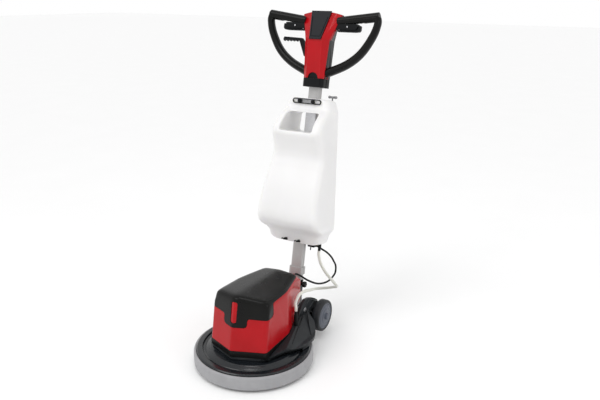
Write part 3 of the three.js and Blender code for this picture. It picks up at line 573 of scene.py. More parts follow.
def finish_piece(piece, body, node, slot, second=None, look=None):
    """The piece takes its CAD node's place; a look may refine the slot's, accents have the second."""
    indices = [polygon.material_index for polygon in piece.data.polygons]
    piece.data.materials.clear()
    for name in filter(None, (look or slot, second)):
        piece.data.materials.append(LOOKS[name])
    for polygon, index in zip(piece.data.polygons, indices):
        polygon.use_smooth = True
        polygon.material_index = index if second else 0
    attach(piece, body)
    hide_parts(node)
    return piece


def finish_pair(piece, twin, body, node, slot, second=None):
    """Finishes a right piece and its twin on the left; {} in body and node is the side."""
    for side, made in (("right", piece), ("left", mirror_x(piece, twin))):
        finish_piece(made, body.format(side), node.format(side), slot, second)


# -------- cords

CABLE_RADIUS = 4
CABLE_ENTRY = (40, 240, 272)
HOSE_RADIUS = 6
HOSE_INLET = (117, 123)
INLET_TOP = 184


def in_column(x, y, z):
    return tuple((COLUMN @ (Vector((x, y, z)) * MM)) / MM)


def add_cord(name, points, radius, node, slot):
    """A round cord swept along a smooth line through the points, taking its CAD node's place."""
    path = spline(points, 7)
    piece = sweep(name, path, oval(2 * radius, 2 * radius, 20))
    piece.data.materials.append(LOOKS[slot])
    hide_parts(node)
    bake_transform(piece)
    return piece


def add_cords():
    cable = [
        in_column(0, 29.3, 310), in_column(0, 44, 310), (3, 423, 378), (14, 440, 357), (30, 451, 335),
        (50, 461, 315), (70, 474, 298), (85, 488, 276), (92, 502, 251), (98, 512, 225),
        (101, 503, 198), (100, 478, 185), (103, 449, 185), (104, 419, 188), (100, 390, 192),
        (96, 362, 200), (94, 336, 211), (89, 311, 225), (72, 292, 240), (51, 278, 258), (41, 259, 271),
        (40, 240.3, 272),
    ]
    add_cord("motor_lead", cable, CABLE_RADIUS, "motor_cable", "cable_black")

    x, y = HOSE_INLET
    hose = [
        in_column(85, 17, 261.7), in_column(85, 17, 245), (90, 376, 293), (97, 388, 263),
        (108, 401, 234), (123, 414, 208), (136, 430, 181), (133, 453, 158), (109, 472, 142),
        (78, 469, 132), (52, 448, 132), (44, 416, 140), (51, 385, 153), (65, 357, 168), (81, 331, 183),
        (96, 304, 198), (111, 276, 213), (123, 247, 227), (130, 216, 239), (127, 183, 248),
        (116, 151, 242), (113, 127, 217), (x, y, 200), (x, y, INLET_TOP + 0.3),
    ]
    add_cord("feed_hose", hose, HOSE_RADIUS, "solution_hose", "hose_white")


# -------- disc and deck

BUMPER_RADIUS = 231
DECK_TOP = 80
CHASSIS_TOP = 92
# Where each rib on an arm starts and ends, and its radius.
ARM_RIBS = [
    ((112, 222, 138), (186, 128, 87.9), 2.6),
    ((112, 196, 133), (160, 20, 102.4), 2.2),
]


def add_deck():
    outer, inner = BUMPER_RADIUS, BUMPER_RADIUS - 10
    band = [(outer - 4, 9), (outer - 0.6, 13), (outer, 30), (outer - 0.4, 56), (outer - 4, 62.5),
            (inner + 2, 63), (inner, 61), (inner, 9)]
    finish_piece(soften(lathe("bumper_moulding", band, 160), 1.6), "base", "bumper_ring", "bumper_grey")

    rim = inner - 0.3
    steps = [(rim, 24), (rim, 65), (rim - 4, 69), (198, 69), (193, 63), (186, 62), (181, 67), (169, 71),
             (166, 73.5), (145, 77), (141, 79), (130, DECK_TOP), (60, DECK_TOP), (60, 72), (124, 72),
             (164, 61), (184, 55), (rim - 8, 56), (rim - 8, 24)]
    finish_piece(soften(lathe("deck_casting", steps, 160), 1.3), "base", "deck", "deck_grey")

    pad = [(0, 0.2), (200, 0.2), (204, 3), (204, 22), (201, 25), (0, 25)]
    finish_piece(soften(turned("scouring_pad", pad, 128), 1), "disc", "floor_pad", "pad_fibre")


def chassis_outline():
    prow = [(0, -152), (115, -107), (127, -97)]
    arm = spline([(138, -66), (158, -22), (176, 5), (188, 36), (196, 75), (199, 112), (192, 142),
                  (176, 178), (150, 217)], 4)
    tail = [(107.6, 237), (107.6, 208), (88, 208)]
    side = fillet(prow + arm + tail, [0, 10, 6] + [0] * len(arm) + [5, 0, 0])
    return side + [(-x, y) for x, y in side[:0:-1]]


def arm_form(sign):
    """What lies under the two slopes of one arm: outwards to the rim and forwards to the prow."""
    outwards = [(100, 135.9), (100, 60), (210, 60), (210, 74.5)]
    across = prism("across", [(sign * x, z) for x, z in outwards], -200, 300, "XZ")
    forwards = [(-200, 77.5), (-200, 60), (300, 60), (300, 150)]
    forward = prism("forward", forwards, *sorted((sign * 60, sign * 230)), "YZ")
    arm = prism("arm", chassis_outline(), DECK_TOP + 0.3, 160)
    return keep(arm, across, forward)


def arm_ribs():
    """Two raised ribs on each arm."""
    ribs = []
    for sign in (-1, 1):
        for start, end, thick in ARM_RIBS:
            (a, b, c), (d, e, f) = start, end
            ribs.append(rod("rib", (sign * a, b, c), (sign * d, e, f), thick, 16))
    return ribs


def add_chassis():
    saddle = prism("chassis_casting", chassis_outline(), DECK_TOP + 0.3, CHASSIS_TOP)
    cut(saddle, block("rear", (-250, 208, 60), (250, 300, 120)))
    for sign in (-1, 1):
        arm = arm_form(sign)
        cut(arm, prism("hood_room", hood_outline(SEAM, -1), CHASSIS_TOP, 200))
        cut(arm, block("bracket_room", (-107.3, 156, CHASSIS_TOP), (107.3, 300, 200)))
        join(saddle, arm)
    rim = lathe("rim", [(196, 72), (224, 72), (224, 86), (196, 86)], 160)
    join(saddle, keep(rim, prism("rim_room", chassis_outline(), 60, 100)))
    cut(saddle, turned("gearbox_room", [(0, 60), (96, 60), (96, 120), (0, 120)], 96))
    x, y = HOSE_INLET
    cut(saddle, rod("inlet_room", (x, y, CHASSIS_TOP), (x, y, 200), 8.6))
    soften(saddle, 2.2, 3, 25)
    merge(saddle, *arm_ribs())
    finish_piece(saddle, "base", "chassis", "chassis_black")


def add_hose_inlet():
    barb = [(0, 92.3), (8, 92.3), (8, 168), (6.4, 170.5), (6.4, 173), (5.2, 174.5), (6, 177), (5.2, 178),
            (6, 181), (5, INLET_TOP), (0, INLET_TOP)]
    inlet = turned("hose_barb", barb, 40, (*HOSE_INLET, 0))
    finish_piece(soften(inlet, 0.5, 2), "base", "hose_inlet", "satin_black")


# -------- hood

SEAM = 118
RIDGE = 318
REAR, TAIL = 194, 262
ROOF_FALL = radians(2)
# The front faces are swept back from the prow, and their upper edges fall away from it.
FACE_TURN = radians(20.8)
FACE_FALL = radians(7.1)
# The split between the shells, and its step down behind the front faces.
SPLIT, SPLIT_SIDE = 241, 291
TONGUE = 206


def hood_outline(height, inset):
    rise = (height - SEAM) / 200
    prow = -158 + 34 * rise + inset * 1.1
    corner_x = 125 - 4 * rise - inset
    corner_y = -109 + 28 * rise + inset * 0.6
    flank = 124 - 6 * rise - inset
    half = [(0, prow), (corner_x - 8, corner_y - 3), (corner_x, corner_y + 4), (flank, corner_y + 30),
            (flank - 2, 60 - inset * 0.3), (66 - inset, TAIL - 10), (57 - inset, TAIL - inset)]
    corners = [10, 12, 10, 24, 30, 8, 8]
    outline = half + [(-x, y) for x, y in half[:0:-1]]
    return fillet(outline, corners + corners[:0:-1], 5)


def hood_roof(drop):
    eaves = RIDGE - 15 - drop
    right = [(134, 70), (134, eaves - 32), (123, eaves - 13), (114, eaves - 4), (102, eaves + 1)]
    outline = right + [(0, RIDGE - drop)] + [(-x, z) for x, z in right[::-1]]
    piece = prism("roof", fillet(outline, [0, 8, 9, 9, 9, 12, 9, 9, 9, 8, 0], 4), -220, 300, "XZ")
    piece.data.transform(Matrix.Rotation(-ROOF_FALL, 4, "X"))
    return piece


def brow(sign, drop):
    """What lies behind the rounded upper edge of one of the two front faces."""
    edge = [(-300, 0), (-300, 304), (-121, 304), (-119, 312), (-113, 318), (-104, 321.5), (-92, 323),
            (300, 400), (300, 0)]
    outline = fillet([(y + drop, z - drop) for y, z in edge], [0, 0, 0, 6, 6, 8, 8, 0, 0], 3)
    piece = prism("brow", outline, -300, 300, "YZ")
    sweep_back = Matrix.Rotation(sign * FACE_TURN, 4, "Z")
    fall = Matrix.Rotation(sign * FACE_FALL, 4, "Y")
    piece.data.transform(sweep_back @ fall)
    return piece


def hood_side(inset):
    rear, step, tail = REAR - inset, REAR + 6 - inset, TAIL - inset
    outline = [(-220, 80), (rear, 80), (rear, 153 + inset), (tail, 153 + inset), (tail, 246 - inset),
               (step, 303 - inset), (step, 340), (-220, 340)]
    return prism("side", fillet(outline, [0, 0, 6, 8, 16, 10, 0, 0], 5), -210, 210, "YZ")


def hood_form(bottom, inset):
    rings = [[(x, y, z) for x, y in hood_outline(z, inset)] for z in (bottom, 340)]
    piece = loft("hood_form", rings)
    return keep(piece, hood_roof(inset), brow(-1, inset), brow(1, inset), hood_side(inset))


def black_zone(grow):
    """What the black shell covers: the roof, the front above the split and the tongue."""
    split, flank, tongue = SPLIT - grow, SPLIT_SIDE - grow, TONGUE - grow
    back, half = grow - 48, 50 + grow
    side = [(-280, 100), (-100, 100), (-100, split), (back, split), (back, flank), (320, flank),
            (320, 400), (-280, 400)]
    front = [(-240, split), (-half, split), (-half, tongue), (half, tongue), (half, split), (240, split),
             (240, 400), (-240, 400)]
    piece = prism("zone", fillet(side, [0, 0, 0, 16, 12, 0, 0, 0], 6), -300, 300, "YZ")
    across = prism("zone_front", fillet(front, [0, 10, 16, 16, 10, 0, 0, 0], 6), -320, 320, "XZ")
    return keep(piece, across)


def trim_form(name, inset):
    """The upright slot in the tongue, or the strip that fills it with an inset."""
    half, low, high = 12.8 - inset, 221 + inset, 299 - inset
    return prism(name, fillet([(-half, low), (half, low), (half, high), (-half, high)], 8), -260, -90, "XZ")


def add_hood():
    black = melt(hood_form(SEAM - 24, 0), 2.5, 14)
    black.name = "hood_black_shell"
    ease(black, lambda p: (p.z - 262) / 28, 60)
    corner = Vector((121, -84, 303))
    ease(black, lambda p: 2 - (Vector((abs(p.x), p.y, p.z)) - corner).length / 26, 220)
    cut(black, hood_form(SEAM - 40, 8), block("slab", (-300, -300, 60), (300, 400, SEAM + 0.3)))
    red = add_object("hood_red_shell", black.data.copy())
    cut(red, black_zone(0.8))
    cut(keep(black, black_zone(0)), trim_form("slot", 0))
    x, y, z = CABLE_ENTRY
    join(red, rod("gland", (x, y - 24, z), (x, y, z), 8))
    finish_piece(red, "base", "hood_lower_shell", "hood_red")
    finish_piece(black, "base", "hood_upper_shell", "hood_black")


def add_hood_trim():
    strip = trim_form("prow_strip", 0.6)
    cut(keep(strip, hood_form(SEAM, 2)), hood_form(SEAM - 20, 7))
    finish_piece(soften(strip, 1.2, 2, 40), "base", "hood_trim_strip", "hood_red")

    skirt = prism("base_lip", hood_outline(SEAM, 0), CHASSIS_TOP + 0.3, SEAM - 0.3)
    well = prism("well", hood_outline(SEAM, 7), 80, 130)
    cut(keep(skirt, hood_side(0)), keep(well, hood_side(7)))
    finish_piece(soften(skirt, 2.5, 3, 40), "base", "hood_base_frame", "hood_black")


# -------- running gear

SIDES = (("left", -1), ("right", 1))
TIE_BOLT = (214, 146)
# Where each rib on a bracket starts and ends, in y and z.
BRACKET_RIBS = [
    ((226, 138), (292, 98)),
    ((176, 108), (300, 160)),
    ((176, 142), (250, 178)),
    ((250, 178), (322, 140)),
]


def add_wheels():
    tyre = [(54, 120), (60, 120), (64, 122), (66, 127), (66, 135.6), (65.2, 136.2), (65.2, 137.8),
            (66, 138.4), (66, 147), (64, 152), (60, 154), (57, 154), (55.5, 152.8), (54, 152.8)]
    hub = [(0, 158.3), (8.3, 158.3), (8.3, 114), (18, 114), (18, 124), (40, 128), (53.7, 128),
           (53.7, 152.2), (52.3, 153.4), (49, 153.4), (47.5, 151.4), (45.5, 151.4), (44, 153.6),
           (34, 155.6), (32.6, 154.4), (31, 154.4), (29.6, 156.4), (16, 157.8), (14, 158.8),
           (14, 163.5), (11.5, 166.3), (8, 167), (0, 167)]
    for side, sign in SIDES:
        body = f"wheel_{side}"
        rubber = lathe(f"{side}_tyre", [(r, sign * h) for r, h in tyre], 128, AXLE, "X")
        finish_piece(soften(rubber, 1.2), body, f"{body}_tyre", "wheel_rubber")
        centre = turned(f"{side}_hub", [(r, sign * h) for r, h in hub], 112, AXLE, "X")
        finish_piece(soften(centre, 0.7), body, f"{body}_hub", "wheel_grey")


def bracket_outline():
    """One side of a wheel bracket: a foot, a round end about the axle and a humped back."""
    y, z = AXLE[1:]
    turns = [radians(a) for a in range(-110, 51, 10)]
    end = [(y + 24 * cos(a), z + 24 * sin(a)) for a in turns]
    crown = [(333, 134), (318, 150), (287, 169), (250, 184), (216, 190), (194, 178), (166, 150)]
    corners = [2, 6, 12] + [0] * len(end) + [14, 14, 16, 20, 12, 12, 8]
    return fillet([(157, 92.3), (212, 92.3), (252, 76)] + end + crown, corners, 4)


def add_bracket(side, sign):
    plate = prism(f"{side}_bracket", bracket_outline(), *sorted((sign * 95, sign * 107)), "YZ")
    low, high = sorted((sign * 80, sign * 120))
    for radius, sides, at in ((8.3, 40, AXLE), (6.3, 32, (0, *TIE_BOLT))):
        cut(plate, turned("hole", [(0, low), (radius, low), (radius, high), (0, high)], sides, at, "X"))
    soften(plate, 2, 3, 32)
    ribs = [rod("rib", (sign * 106.8, *start), (sign * 106.8, *end), 3, 16) for start, end in BRACKET_RIBS]
    boss = [(8.3, 106), (20, 106), (19, 110), (8.3, 110)]
    ribs.append(lathe("boss", [(r, sign * h) for r, h in boss], 64, AXLE, "X"))
    finish_piece(merge(plate, *ribs), "base", f"wheel_bracket_{side}", "chassis_black")


def add_brackets():
    for side, sign in SIDES:
        add_bracket(side, sign)

    y, z = TIE_BOLT
    stud = rod("tie_stud", (-110, y, z), (110, y, z), 6)
    washer = [(6, 107.3), (10, 107.3), (10, 108.6), (6, 108.6)]
    for _, sign in SIDES:
        ring = lathe("washer", [(r, sign * h) for r, h in washer], 48, (0, y, z), "X")
        nut = prism("nut", lobed(8.4, 0, 6, TIE_BOLT, 1), *sorted((sign * 108.7, sign * 111)), "YZ")
        merge(stud, ring, soften(nut, 0.5, 2))
    finish_piece(stud, "base", "tie_bolt", "bright_steel")

    right = [(8, 25.3), (13, 25.3), (13, 94.7), (8, 94.7), (8, 157), (7.4, 158), (0, 158)]
    left = [(r, -x) for r, x in right[::-1]]
    axle = turned("axle", left + right, 48, AXLE, "X")
    finish_piece(soften(axle, 0.6, 2), "base", "wheel_axle", "bright_steel")


# -------- column

def rounded_rectangle(width, depth, radius, steps=6, centre=(0, 0)):
    x, y = width / 2 - radius, depth / 2 - radius
    points = []
    for quarter, (a, b) in enumerate(((x, y), (-x, y), (-x, -y), (x, -y))):
        for k in range(steps + 1):
            turn = radians(90 * (quarter + k / steps))
            corner = (a + radius * cos(turn), b + radius * sin(turn))
            points.append((centre[0] + corner[0], centre[1] + corner[1]))
    return points


def tube_room(low, high):
    return prism("tube_room", rounded_rectangle(50.6, 30.6, 6), low, high, "XY", COLUMN)


def add_column():
    tube = prism("handle_tube", rounded_rectangle(50, 30, 6), 100, 1020, "XY", COLUMN)
    finish_piece(soften(tube, 0.6, 2, 40), "column", "column_tube", "tube_steel")
    collar = prism("tube_collar", rounded_rectangle(60, 40, 8), 150, 182, "XY", COLUMN)
    cut(collar, tube_room(140, 200))
    finish_piece(soften(collar, 1.2, 3, 40), "column", "column_collar", "tube_steel")

    stub = rod("foot_knob", (25.3, 0, 110), (36, 0, 110), 6, 32, COLUMN)
    star = prism("star", lobed(13, 2.2, 6, (0, 110)), 35, 48, "YZ", COLUMN)
    merge(soften(stub, 0.6, 2), soften(star, 2, 3, 40))
    finish_piece(stub, "foot_knob", "foot_clamp_knob", "satin_black")

    profile = [(0, 15.3), (8, 15.3), (8, 21), (7, 22), (7, 27), (5.6, 29), (0, 29)]
    gland = turned("tube_gland", profile, 40, (0, 0, 310), "Y", COLUMN)
    finish_piece(soften(gland, 0.6, 2), "column", "column_cable_gland", "satin_black")


# -------- tank

TANK_BOTTOM, TANK_TOP = 293, 883
TANK_EDGE = 6
# The tank's front and its right flank: how far out it reaches at each height.
TANK_FRONT = [(-60, 296), (-66, 312), (-84, 342), (-136, 374), (-154, 421), (-142, 520), (-112, 610),
              (-104, 657), (-122, 706), (-143, 745), (-132, 778), (-96, 816), (-68, 838), (-61, 862),
              (-60, 883)]
TANK_FOOT = [(96, 293), (117, 306), (122, 330), (130, 346), (140, 364), (139, 400)]
TANK_FLANK = [(139, 400), (104, 838), (96, 858), (84, 883)]
STRAP_HEIGHT = 870
FILLER = (-84, 700)


def along(line, height):
    """The first value of a line of [value, height] at a height."""
    for (a, z0), (b, z1) in zip(line, line[1:]):
        if z0 <= height <= z1:
            return a + (b - a) * (height - z0) / max(z1 - z0, 1e-6)
    return line[0][0] if height < line[0][1] else line[-1][0]


def tank_ring(z, front, flank):
    """One level of the tank, a little smaller where its bottom and top edges are rounded."""
    edge = min(z - TANK_BOTTOM, TANK_TOP - z, TANK_EDGE)
    shrink = TANK_EDGE - sqrt(max(0, TANK_EDGE ** 2 - (TANK_EDGE - edge) ** 2))
    y = along(front, z)
    rear = 40 if z > 345 else 32 + 8 * (z - TANK_BOTTOM) / 52
    width = 2 * (along(flank, z) - shrink)
    depth = rear - y - 2 * shrink
    ring = rounded_rectangle(width, depth, min(26, depth / 2.6), 7, (0, (rear + y) / 2))
    return [(a, b, z) for a, b in ring]


def add_tank():
    front = spline(TANK_FRONT, 8)
    flank = spline(TANK_FOOT, 6)[:-1] + TANK_FLANK
    levels = [TANK_BOTTOM + (TANK_TOP - TANK_BOTTOM) * k / 90 for k in range(91)]
    tank = loft("tank_body", [tank_ring(z, front, flank) for z in levels], COLUMN)
    cut(tank, block("channel", (-29, -18, 200), (29, 100, 1000), COLUMN))
    cut(tank, block("pocket", (-49, -22, 690), (49, 100, 1000), COLUMN))
    hand = [(-74, 748), (74, 748), (70, 826), (-70, 826)]
    cut(tank, prism("hand", fillet(hand, 12), -220, 100, "XZ", COLUMN))
    melt(tank, 3, 8)
    finish_piece(tank, "column", "solution_tank", "tank_white")


def stadium(name, width, height, low, high, at=0):
    """A bar with round ends, lying across the column at the height of the strap."""
    outline = rounded_rectangle(width, height, height / 2 - 0.3, 8, (at, STRAP_HEIGHT))
    return prism(name, outline, low, high, "XZ", COLUMN)


def strap_knob(x):
    """A lobed nut on the strap."""
    piece = prism("strap_knob", lobed(8, 1.4, 5, (x, STRAP_HEIGHT)), -76, -67, "XZ", COLUMN)
    neck = rod("neck", (x, -68, STRAP_HEIGHT), (x, -62, STRAP_HEIGHT), 4, 24, COLUMN)
    return merge(soften(piece, 1.2, 3, 40), neck)


def add_strap():
    strap = stadium("tank_strap", 124, 17.5, -65, -62)
    for x in (-44, 44):
        cut(strap, stadium("slot", 32, 9, -80, -40, x))
    soften(strap, 0.5, 2, 40)
    # A black ring round the strap: painted dark reflection, standing in for what the strap's rounded edge
    # mirrors.
    painted_dark_rim = stadium("painted_dark_rim", 128, 21, -67, -61.7)
    cut(painted_dark_rim, stadium("inside", 121, 14, -80, -40))
    merge(strap, accent(soften(painted_dark_rim, 0.8, 2, 40)))
    for x in (-30, 30):
        merge(strap, accent(strap_knob(x)))
    finish_piece(strap, "column", "tank_clamp_strap", "dark_steel", "satin_black")


def add_tank_holders():
    hanger = [(-22, 700), (22, 700), (22, 852), (44, 852), (44, 878), (-44, 878), (-44, 852), (-22, 852)]
    plate = prism("tank_hanger", fillet(hanger, [3, 3, 4, 5, 5, 5, 5, 4]), -21.6, -15.3, "XZ", COLUMN)
    finish_piece(soften(plate, 0.8, 2, 40), "column", "tank_hanger_plate", "bright_steel")
    add_strap()

    for side, x in (("left", -30), ("right", 30)):
        stub = rod(f"wing_screw_{side}", (x, -67, 306), (x, -80, 306), 5, 32, COLUMN)
        wing = [(x - 13, 302), (x - 5, 304.5), (x, 301.5), (x + 5, 304.5), (x + 13, 302), (x + 13, 310),
                (x + 5, 307.5), (x, 310.5), (x - 5, 307.5), (x - 13, 310)]
        wings = prism("wings", fillet(wing, 3), -88, -78, "XZ", COLUMN)
        merge(soften(stub, 0.6, 2), soften(wings, 1.4, 3, 40))
        finish_piece(stub, f"wing_screw_{side}", f"tank_wing_screw_{side}", "hood_black")

    x, z = FILLER
    cap = prism("filler_cap", lobed(21, 1.2, 28, FILLER, 6), 40.3, 54, "XZ", COLUMN)
    plug = rod("plug", (x, 32, z), (x, 41, z), 16.5, 48, COLUMN)
    merge(soften(cap, 1.2, 3, 40), soften(plug, 0.8, 2))
    finish_piece(cap, "filler_cap", "tank_filler_cap", "satin_black")


def add_valve():
    body = soften(block("valve_body", (34, 6, 272), (64, 28, 292.7), COLUMN), 1.6)
    arm = soften(rod("arm", (60, 17, 282), (86, 17, 282), 7, 32, COLUMN), 1, 2)
    barb = [(0, 289), (7, 289), (7, 272), (5.6, 270), (6.4, 267), (5.6, 265), (6.2, 262), (0, 262)]
    spout = turned("spout", barb, 32, (85, 17, 0), "Z", COLUMN)
    finish_piece(merge(body, arm, spout), "column", "solution_valve", "satin_black")

    top, bottom = (73, 17, 896), (44, 17, 257)
    pull = rod("valve_rod", bottom, top, 2.5, 24, COLUMN)
    bulge = [(0, -19), (4, -19), (6, -15), (4.6, -6), (4.2, 0), (4.6, 6), (6, 15), (4, 19), (0, 19)]
    handle = turned("handle", bulge, 40, top, "X", COLUMN)
    merge(pull, soften(handle, 0.8, 2))
    finish_piece(pull, "valve_rod", "valve_pull_rod", "dark_steel")


# -------- console and handles

CONSOLE_BOTTOM, CONSOLE_WAIST, CONSOLE_TOP = 964, 1117, 1222
CONSOLE_CROWN = 1228.5
BUTTON_HEIGHT = 1150
# At each height: half width and y of the flat face, half width and y of its slanted edge, half rear width.
CONSOLE_KEYS = [
    (CONSOLE_BOTTOM, 30, -37, 45, -27, 40),
    (CONSOLE_WAIST, 30, -48, 54, -29, 44),
    (CONSOLE_TOP, 48, -10, 88, 0, 62),
]


def console_section(height):
    low, high = CONSOLE_KEYS[:2] if height < CONSOLE_WAIST else CONSOLE_KEYS[1:]
    t = (height - low[0]) / (high[0] - low[0])
    return [a + (b - a) * t for a, b in zip(low, high)][1:]


def console_ring(height, grow, shift):
    flat, flat_y, edge, edge_y, rear = console_section(height)
    half = [(flat + grow / 2, flat_y - grow), (edge + grow, edge_y - grow), (edge + grow, edge_y + 16),
            (rear + grow, 40 + grow)]
    outline = half + [(-x, y) for x, y in half[::-1]]
    return [(x, y + shift, height) for x, y in outline]


def console_block(name, levels, grow=0, shift=0):
    return loft(name, [console_ring(z, grow, shift) for z in levels], COLUMN)


def console_form(name):
    """The console's outer form; its top is arched from the middle down to both corners."""
    piece = console_block(name, (CONSOLE_BOTTOM, CONSOLE_WAIST, CONSOLE_TOP + 12))
    arch = [(x, CONSOLE_CROWN - 11.5 * (x / 88) ** 2) for x in range(-140, 141, 10)]
    crown = [(-140, 900)] + arch + [(140, 900)]
    return keep(piece, prism("crown", crown, -200, 200, "XZ", COLUMN))


def console_behind(shift):
    """What lies behind the console's face when that is moved back."""
    return console_block("behind", (940, CONSOLE_WAIST, 1260), 0, shift)


def console_room():
    """The room that the handles leave for the console."""
    return console_block("room", (940, CONSOLE_WAIST, 1240), 0.6)


def insert_form(name, inset, front, back, bottom):
    """A piece that follows the flat middle of the console face, narrower by an inset."""
    def ring(z):
        flat, y = console_section(min(z, CONSOLE_TOP))[:2]
        half = flat - 4 - inset
        return [(-half, y - front, z), (half, y - front, z), (half, y - back, z), (-half, y - back, z)]
    return loft(name, [ring(z) for z in (bottom, max(bottom + 1, CONSOLE_WAIST), 1230 - inset)], COLUMN)


def add_console_face():
    face = soften(console_form("console_cover"), 5, 4, 16)
    bite = [(0, -90), (23, -90), (23, 20), (0, 20)]
    cut(face, console_behind(4), turned("notch", bite, 64, (0, 0, CONSOLE_BOTTOM), "Y", COLUMN))
    finish_piece(soften(face, 0.8, 2, 50), "column", "console_face", "hood_red")


def add_console_housing():
    body = soften(console_form("console_body"), 5, 4, 16)
    keep(body, console_behind(4.3))
    cut(body, rod("button_well", (0, 34, BUTTON_HEIGHT), (0, 60, BUTTON_HEIGHT), 9.4, 48, COLUMN))
    cut(body, block("lever_slot", (-90, -9, 1040), (-30, 6, 1084), COLUMN))
    rear = cad_box[1][1] / MM
    cut(body, block("past_the_rear", (-200, rear, 1000), (200, rear + 50, 1400)))
    soften(body, 0.8, 2, 50)
    bezel = [(9.3, 37), (14, 37), (14, 45), (11.5, 45), (11.5, 43.5), (9.3, 43.5)]
    ring = lathe("bezel", bezel, 48, (0, 0, BUTTON_HEIGHT), "Y", COLUMN)
    finish_piece(merge(body, ring), "column", "console_housing", "satin_black")


def add_console_insert():
    insert = insert_form("console_panel", 0, 4.3, 0.3, CONSOLE_WAIST - 2)
    groove = insert_form("groove", 6, 6, 2.6, CONSOLE_WAIST + 8)
    cut(groove, insert_form("inside", 8.5, 8, 1, CONSOLE_WAIST + 11))
    cut(insert, groove)
    finish_piece(soften(insert, 1.3, 3, 40), "column", "console_insert", "hood_black", look="panel_gloss")


def add_column_clamp():
    collar = prism("clamp_collar", rounded_rectangle(92, 80, 18), 929, 963.7, "XY", COLUMN)
    cut(collar, tube_room(900, 1000))
    cut(collar, block("split", (30, -3, 900), (60, 0, 1000), COLUMN))
    finish_piece(soften(collar, 2, 3, 40), "column", "column_clamp", "satin_black")


def add_interlock():
    cap = [(0, 41), (8.7, 41), (8.7, 47.6), (7.6, 48.8), (4, 49), (0, 48.6)]
    plunger = soften(turned("interlock", cap, 48, (0, 0, BUTTON_HEIGHT), "Y", COLUMN), 0.4, 2)
    finish_piece(plunger, "interlock", "interlock_button", "hood_red")


GRIP_START, GRIP_END = (70, 1191), (235, 1213)
GRIP_RADIUS = 18.6
# The middle line of the right bow in x and z, from the grip's end round to the console.
BOW = [(236, 1212), (239, 1188), (224, 1139), (183, 1073), (124, 1025), (42, 988)]


def add_handles():
    path = [(x, 0, z) for x, z in spline(BOW, 10)]
    reach = [k / (len(path) - 1) for k in range(len(path))]
    sections = [oval(26 + 10 * t, 36 + 14 * t) for t in reach]
    bow = sweep("bow", path, sections, COLUMN, (1, 0, 0))
    (x0, z0), (x1, z1) = GRIP_START, GRIP_END
    grip = rod("grip", (x0, 0, z0), (x1 + 8, 0, z1 + 1), GRIP_RADIUS, 40, COLUMN)
    handle = join(bow, grip)
    handle.name = "right_handle"
    cut(handle, block("finger_slot", (60, -9.5, 1150), (182, 9.5, 1193), COLUMN))
    cut(handle, block("switch_room", (50, -13.3, 1159.7), (160.3, 13.3, 1183.3), COLUMN))
    melt(handle, 2, 6)
    cut(handle, console_room())
    cut(handle, block("base", (0, -60, 900), (46.3, 60, 1000), COLUMN))
    finish_pair(handle, "left_handle", "column", "handle_{}", "hood_black")


def add_switch_housings():
    housing = block("switch_box_right", (60, -13, 1160), (160, 13, 1183), COLUMN)
    cut(housing, block("channel", (50, -9, 1150), (200, 9, 1177), COLUMN))
    cut(housing, block("nick", (154, -20, 1150), (170, 20, 1166), COLUMN))
    cut(housing, console_room())
    soften(housing, 1.2, 3, 40)
    head = [(0, -12.6), (3.4, -12.6), (3.4, -13.6), (2.4, -14.4), (0, -14.6)]
    merge(housing, accent(turned("screw", head, 32, (117, 0, 1171), "Y", COLUMN)))
    finish_pair(housing, "switch_box_left", "column", "switch_housing_{}", "satin_black", "bright_steel")


def add_switch_levers():
    blade = [(74, 1152), (150, 1152), (167, 1154), (172, 1160), (172, 1178), (164, 1178), (159, 1164),
             (74, 1164)]
    paddle = prism("paddle_right", fillet(blade, [2, 6, 6, 5, 3, 2, 4, 2]), -8, 8, "XZ", COLUMN)
    soften(paddle, 1.6, 3, 40)
    merge(paddle, accent(rod("pin", (80, -8.7, 1160), (80, 8.7, 1160), 2.5, 24, COLUMN)))
    finish_pair(paddle, "paddle_left", "switch_{}", "switch_lever_{}", "satin_black", "bright_steel")


def add_lock_lever():
    """A rocker whose bar has finger hollows underneath."""
    hollows = []
    for k in range(5):
        start = -164 + 15 * k
        hollows += [(start, 1106.5), (start + 3, 1110.5), (start + 7, 1112), (start + 11, 1110.5)]
    tail = [(32, 1047), (39, 1054), (36, 1063), (-48, 1063), (-57, 1068)]
    bar = [(-72, 1112), (-80, 1122), (-166, 1125), (-170, 1114)] + hollows
    heel = [(-90, 1104), (-66, 1050), (-56, 1048)]
    corners = [3, 3, 3, 6, 8, 10, 8, 5, 4] + [1.5] * len(hollows) + [8, 6, 4]
    rocker = prism("release_lever", fillet(tail + bar + heel, corners, 3), -7, 4, "XZ", COLUMN)
    soften(rocker, 1.4, 3, 40)
    merge(rocker, accent(rod("pin", (30, -13, 1056), (30, 35, 1056), 3, 24, COLUMN)))
    finish_piece(rocker, "tilt_release", "tilt_release_lever", "satin_black", "bright_steel")


# -------- the rest

def refine_nodes():
    """The pieces that have no form of their own here keep their CAD shape, with their edges rounded."""
    slots = {part["node"]: part["material_slot"] for part in frame["record"]["subparts"]}
    for name, node in frame["nodes"].items():
        if not node.hide_render:
            piece = soften(from_node(name, name + "_made"), 0.5, 2, 30)
            finish_piece(piece, node["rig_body"], name, slots[name])


# -------- studio

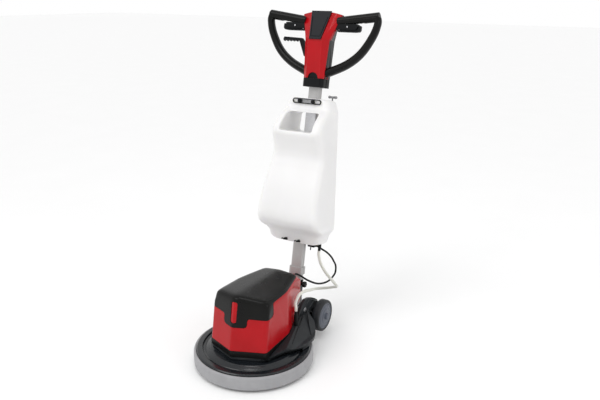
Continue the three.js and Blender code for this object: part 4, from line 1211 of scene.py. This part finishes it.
def add_world():
    """Even white light, a little weaker from above than from the horizon."""
    world = bpy.data.worlds.new("studio")
    world.use_nodes = True
    tree = world.node_tree
    background = tree.nodes["Background"]
    background.inputs["Color"].default_value = (1, 1, 1, 1)
    split = tree.nodes.new("ShaderNodeSeparateXYZ")
    fade = tree.nodes.new("ShaderNodeMapRange")
    tree.links.new(tree.nodes.new("ShaderNodeTexCoord").outputs["Generated"], split.inputs[0])
    tree.links.new(split.outputs["Z"], fade.inputs["Value"])
    tree.links.new(fade.outputs["Result"], background.inputs["Strength"])
    for key, value in (("From Min", 0.03), ("From Max", 0.3), ("To Min", 1.0), ("To Max", 0.87)):
        fade.inputs[key].default_value = value
    bpy.context.scene.world = world


def add_floor():
    half, level = 30, -0.0005
    corners = [(-half, -half, level), (half, -half, level), (half, half, level), (-half, half, level)]
    mesh = bpy.data.meshes.new("floor")
    mesh.from_pydata(corners, [], [(0, 1, 2, 3)])
    n = Nodes("studio_floor")
    n.set(Base_Color=n.blend(n.noise(3), (0.93, 0.93, 0.93), (0.96, 0.96, 0.96)), Roughness=0.9)
    mesh.materials.append(n.material)
    add_object("floor", mesh)


def add_light(name, kind, place, aim, strength, spread):
    """The spread is a sun's angle, or the side of a square lamp in metres."""
    data = bpy.data.lights.new(name, kind)
    data.energy = strength
    if kind == "SUN":
        data.angle = spread
    else:
        data.shape, data.size = "SQUARE", spread
    light = add_object(name, data)
    light.location = place
    light.rotation_mode = "QUATERNION"
    light.rotation_quaternion = (Vector(aim) - Vector(place)).to_track_quat("-Z", "Y")


def add_studio():
    bpy.context.scene.view_settings.view_transform = "Standard"
    add_world()
    add_floor()
    add_light("sun", "SUN", (-1.2, -2.0, 2.6), (0, 0, 0), 0.6, radians(30))
    add_light("overhead", "AREA", (0.0, -0.4, 3.0), (0, 0.1, 0.3), 8, 0.7)
    add_light("front", "AREA", (-0.9, -2.6, 1.5), (0, 0, 0.4), 3, 0.35)
    add_light("right", "AREA", (2.8, -0.4, 1.9), (0, 0.2, 0.6), 6, 0.6)


add_camera()
add_cords()
add_deck()
add_chassis()
add_hose_inlet()
add_hood()
add_hood_trim()
add_wheels()
add_brackets()
add_column()
add_tank()
add_tank_holders()
add_valve()
add_console_face()
add_console_housing()
add_console_insert()
add_column_clamp()
add_interlock()
add_handles()
add_switch_housings()
add_switch_levers()
add_lock_lever()
refine_nodes()
add_studio()
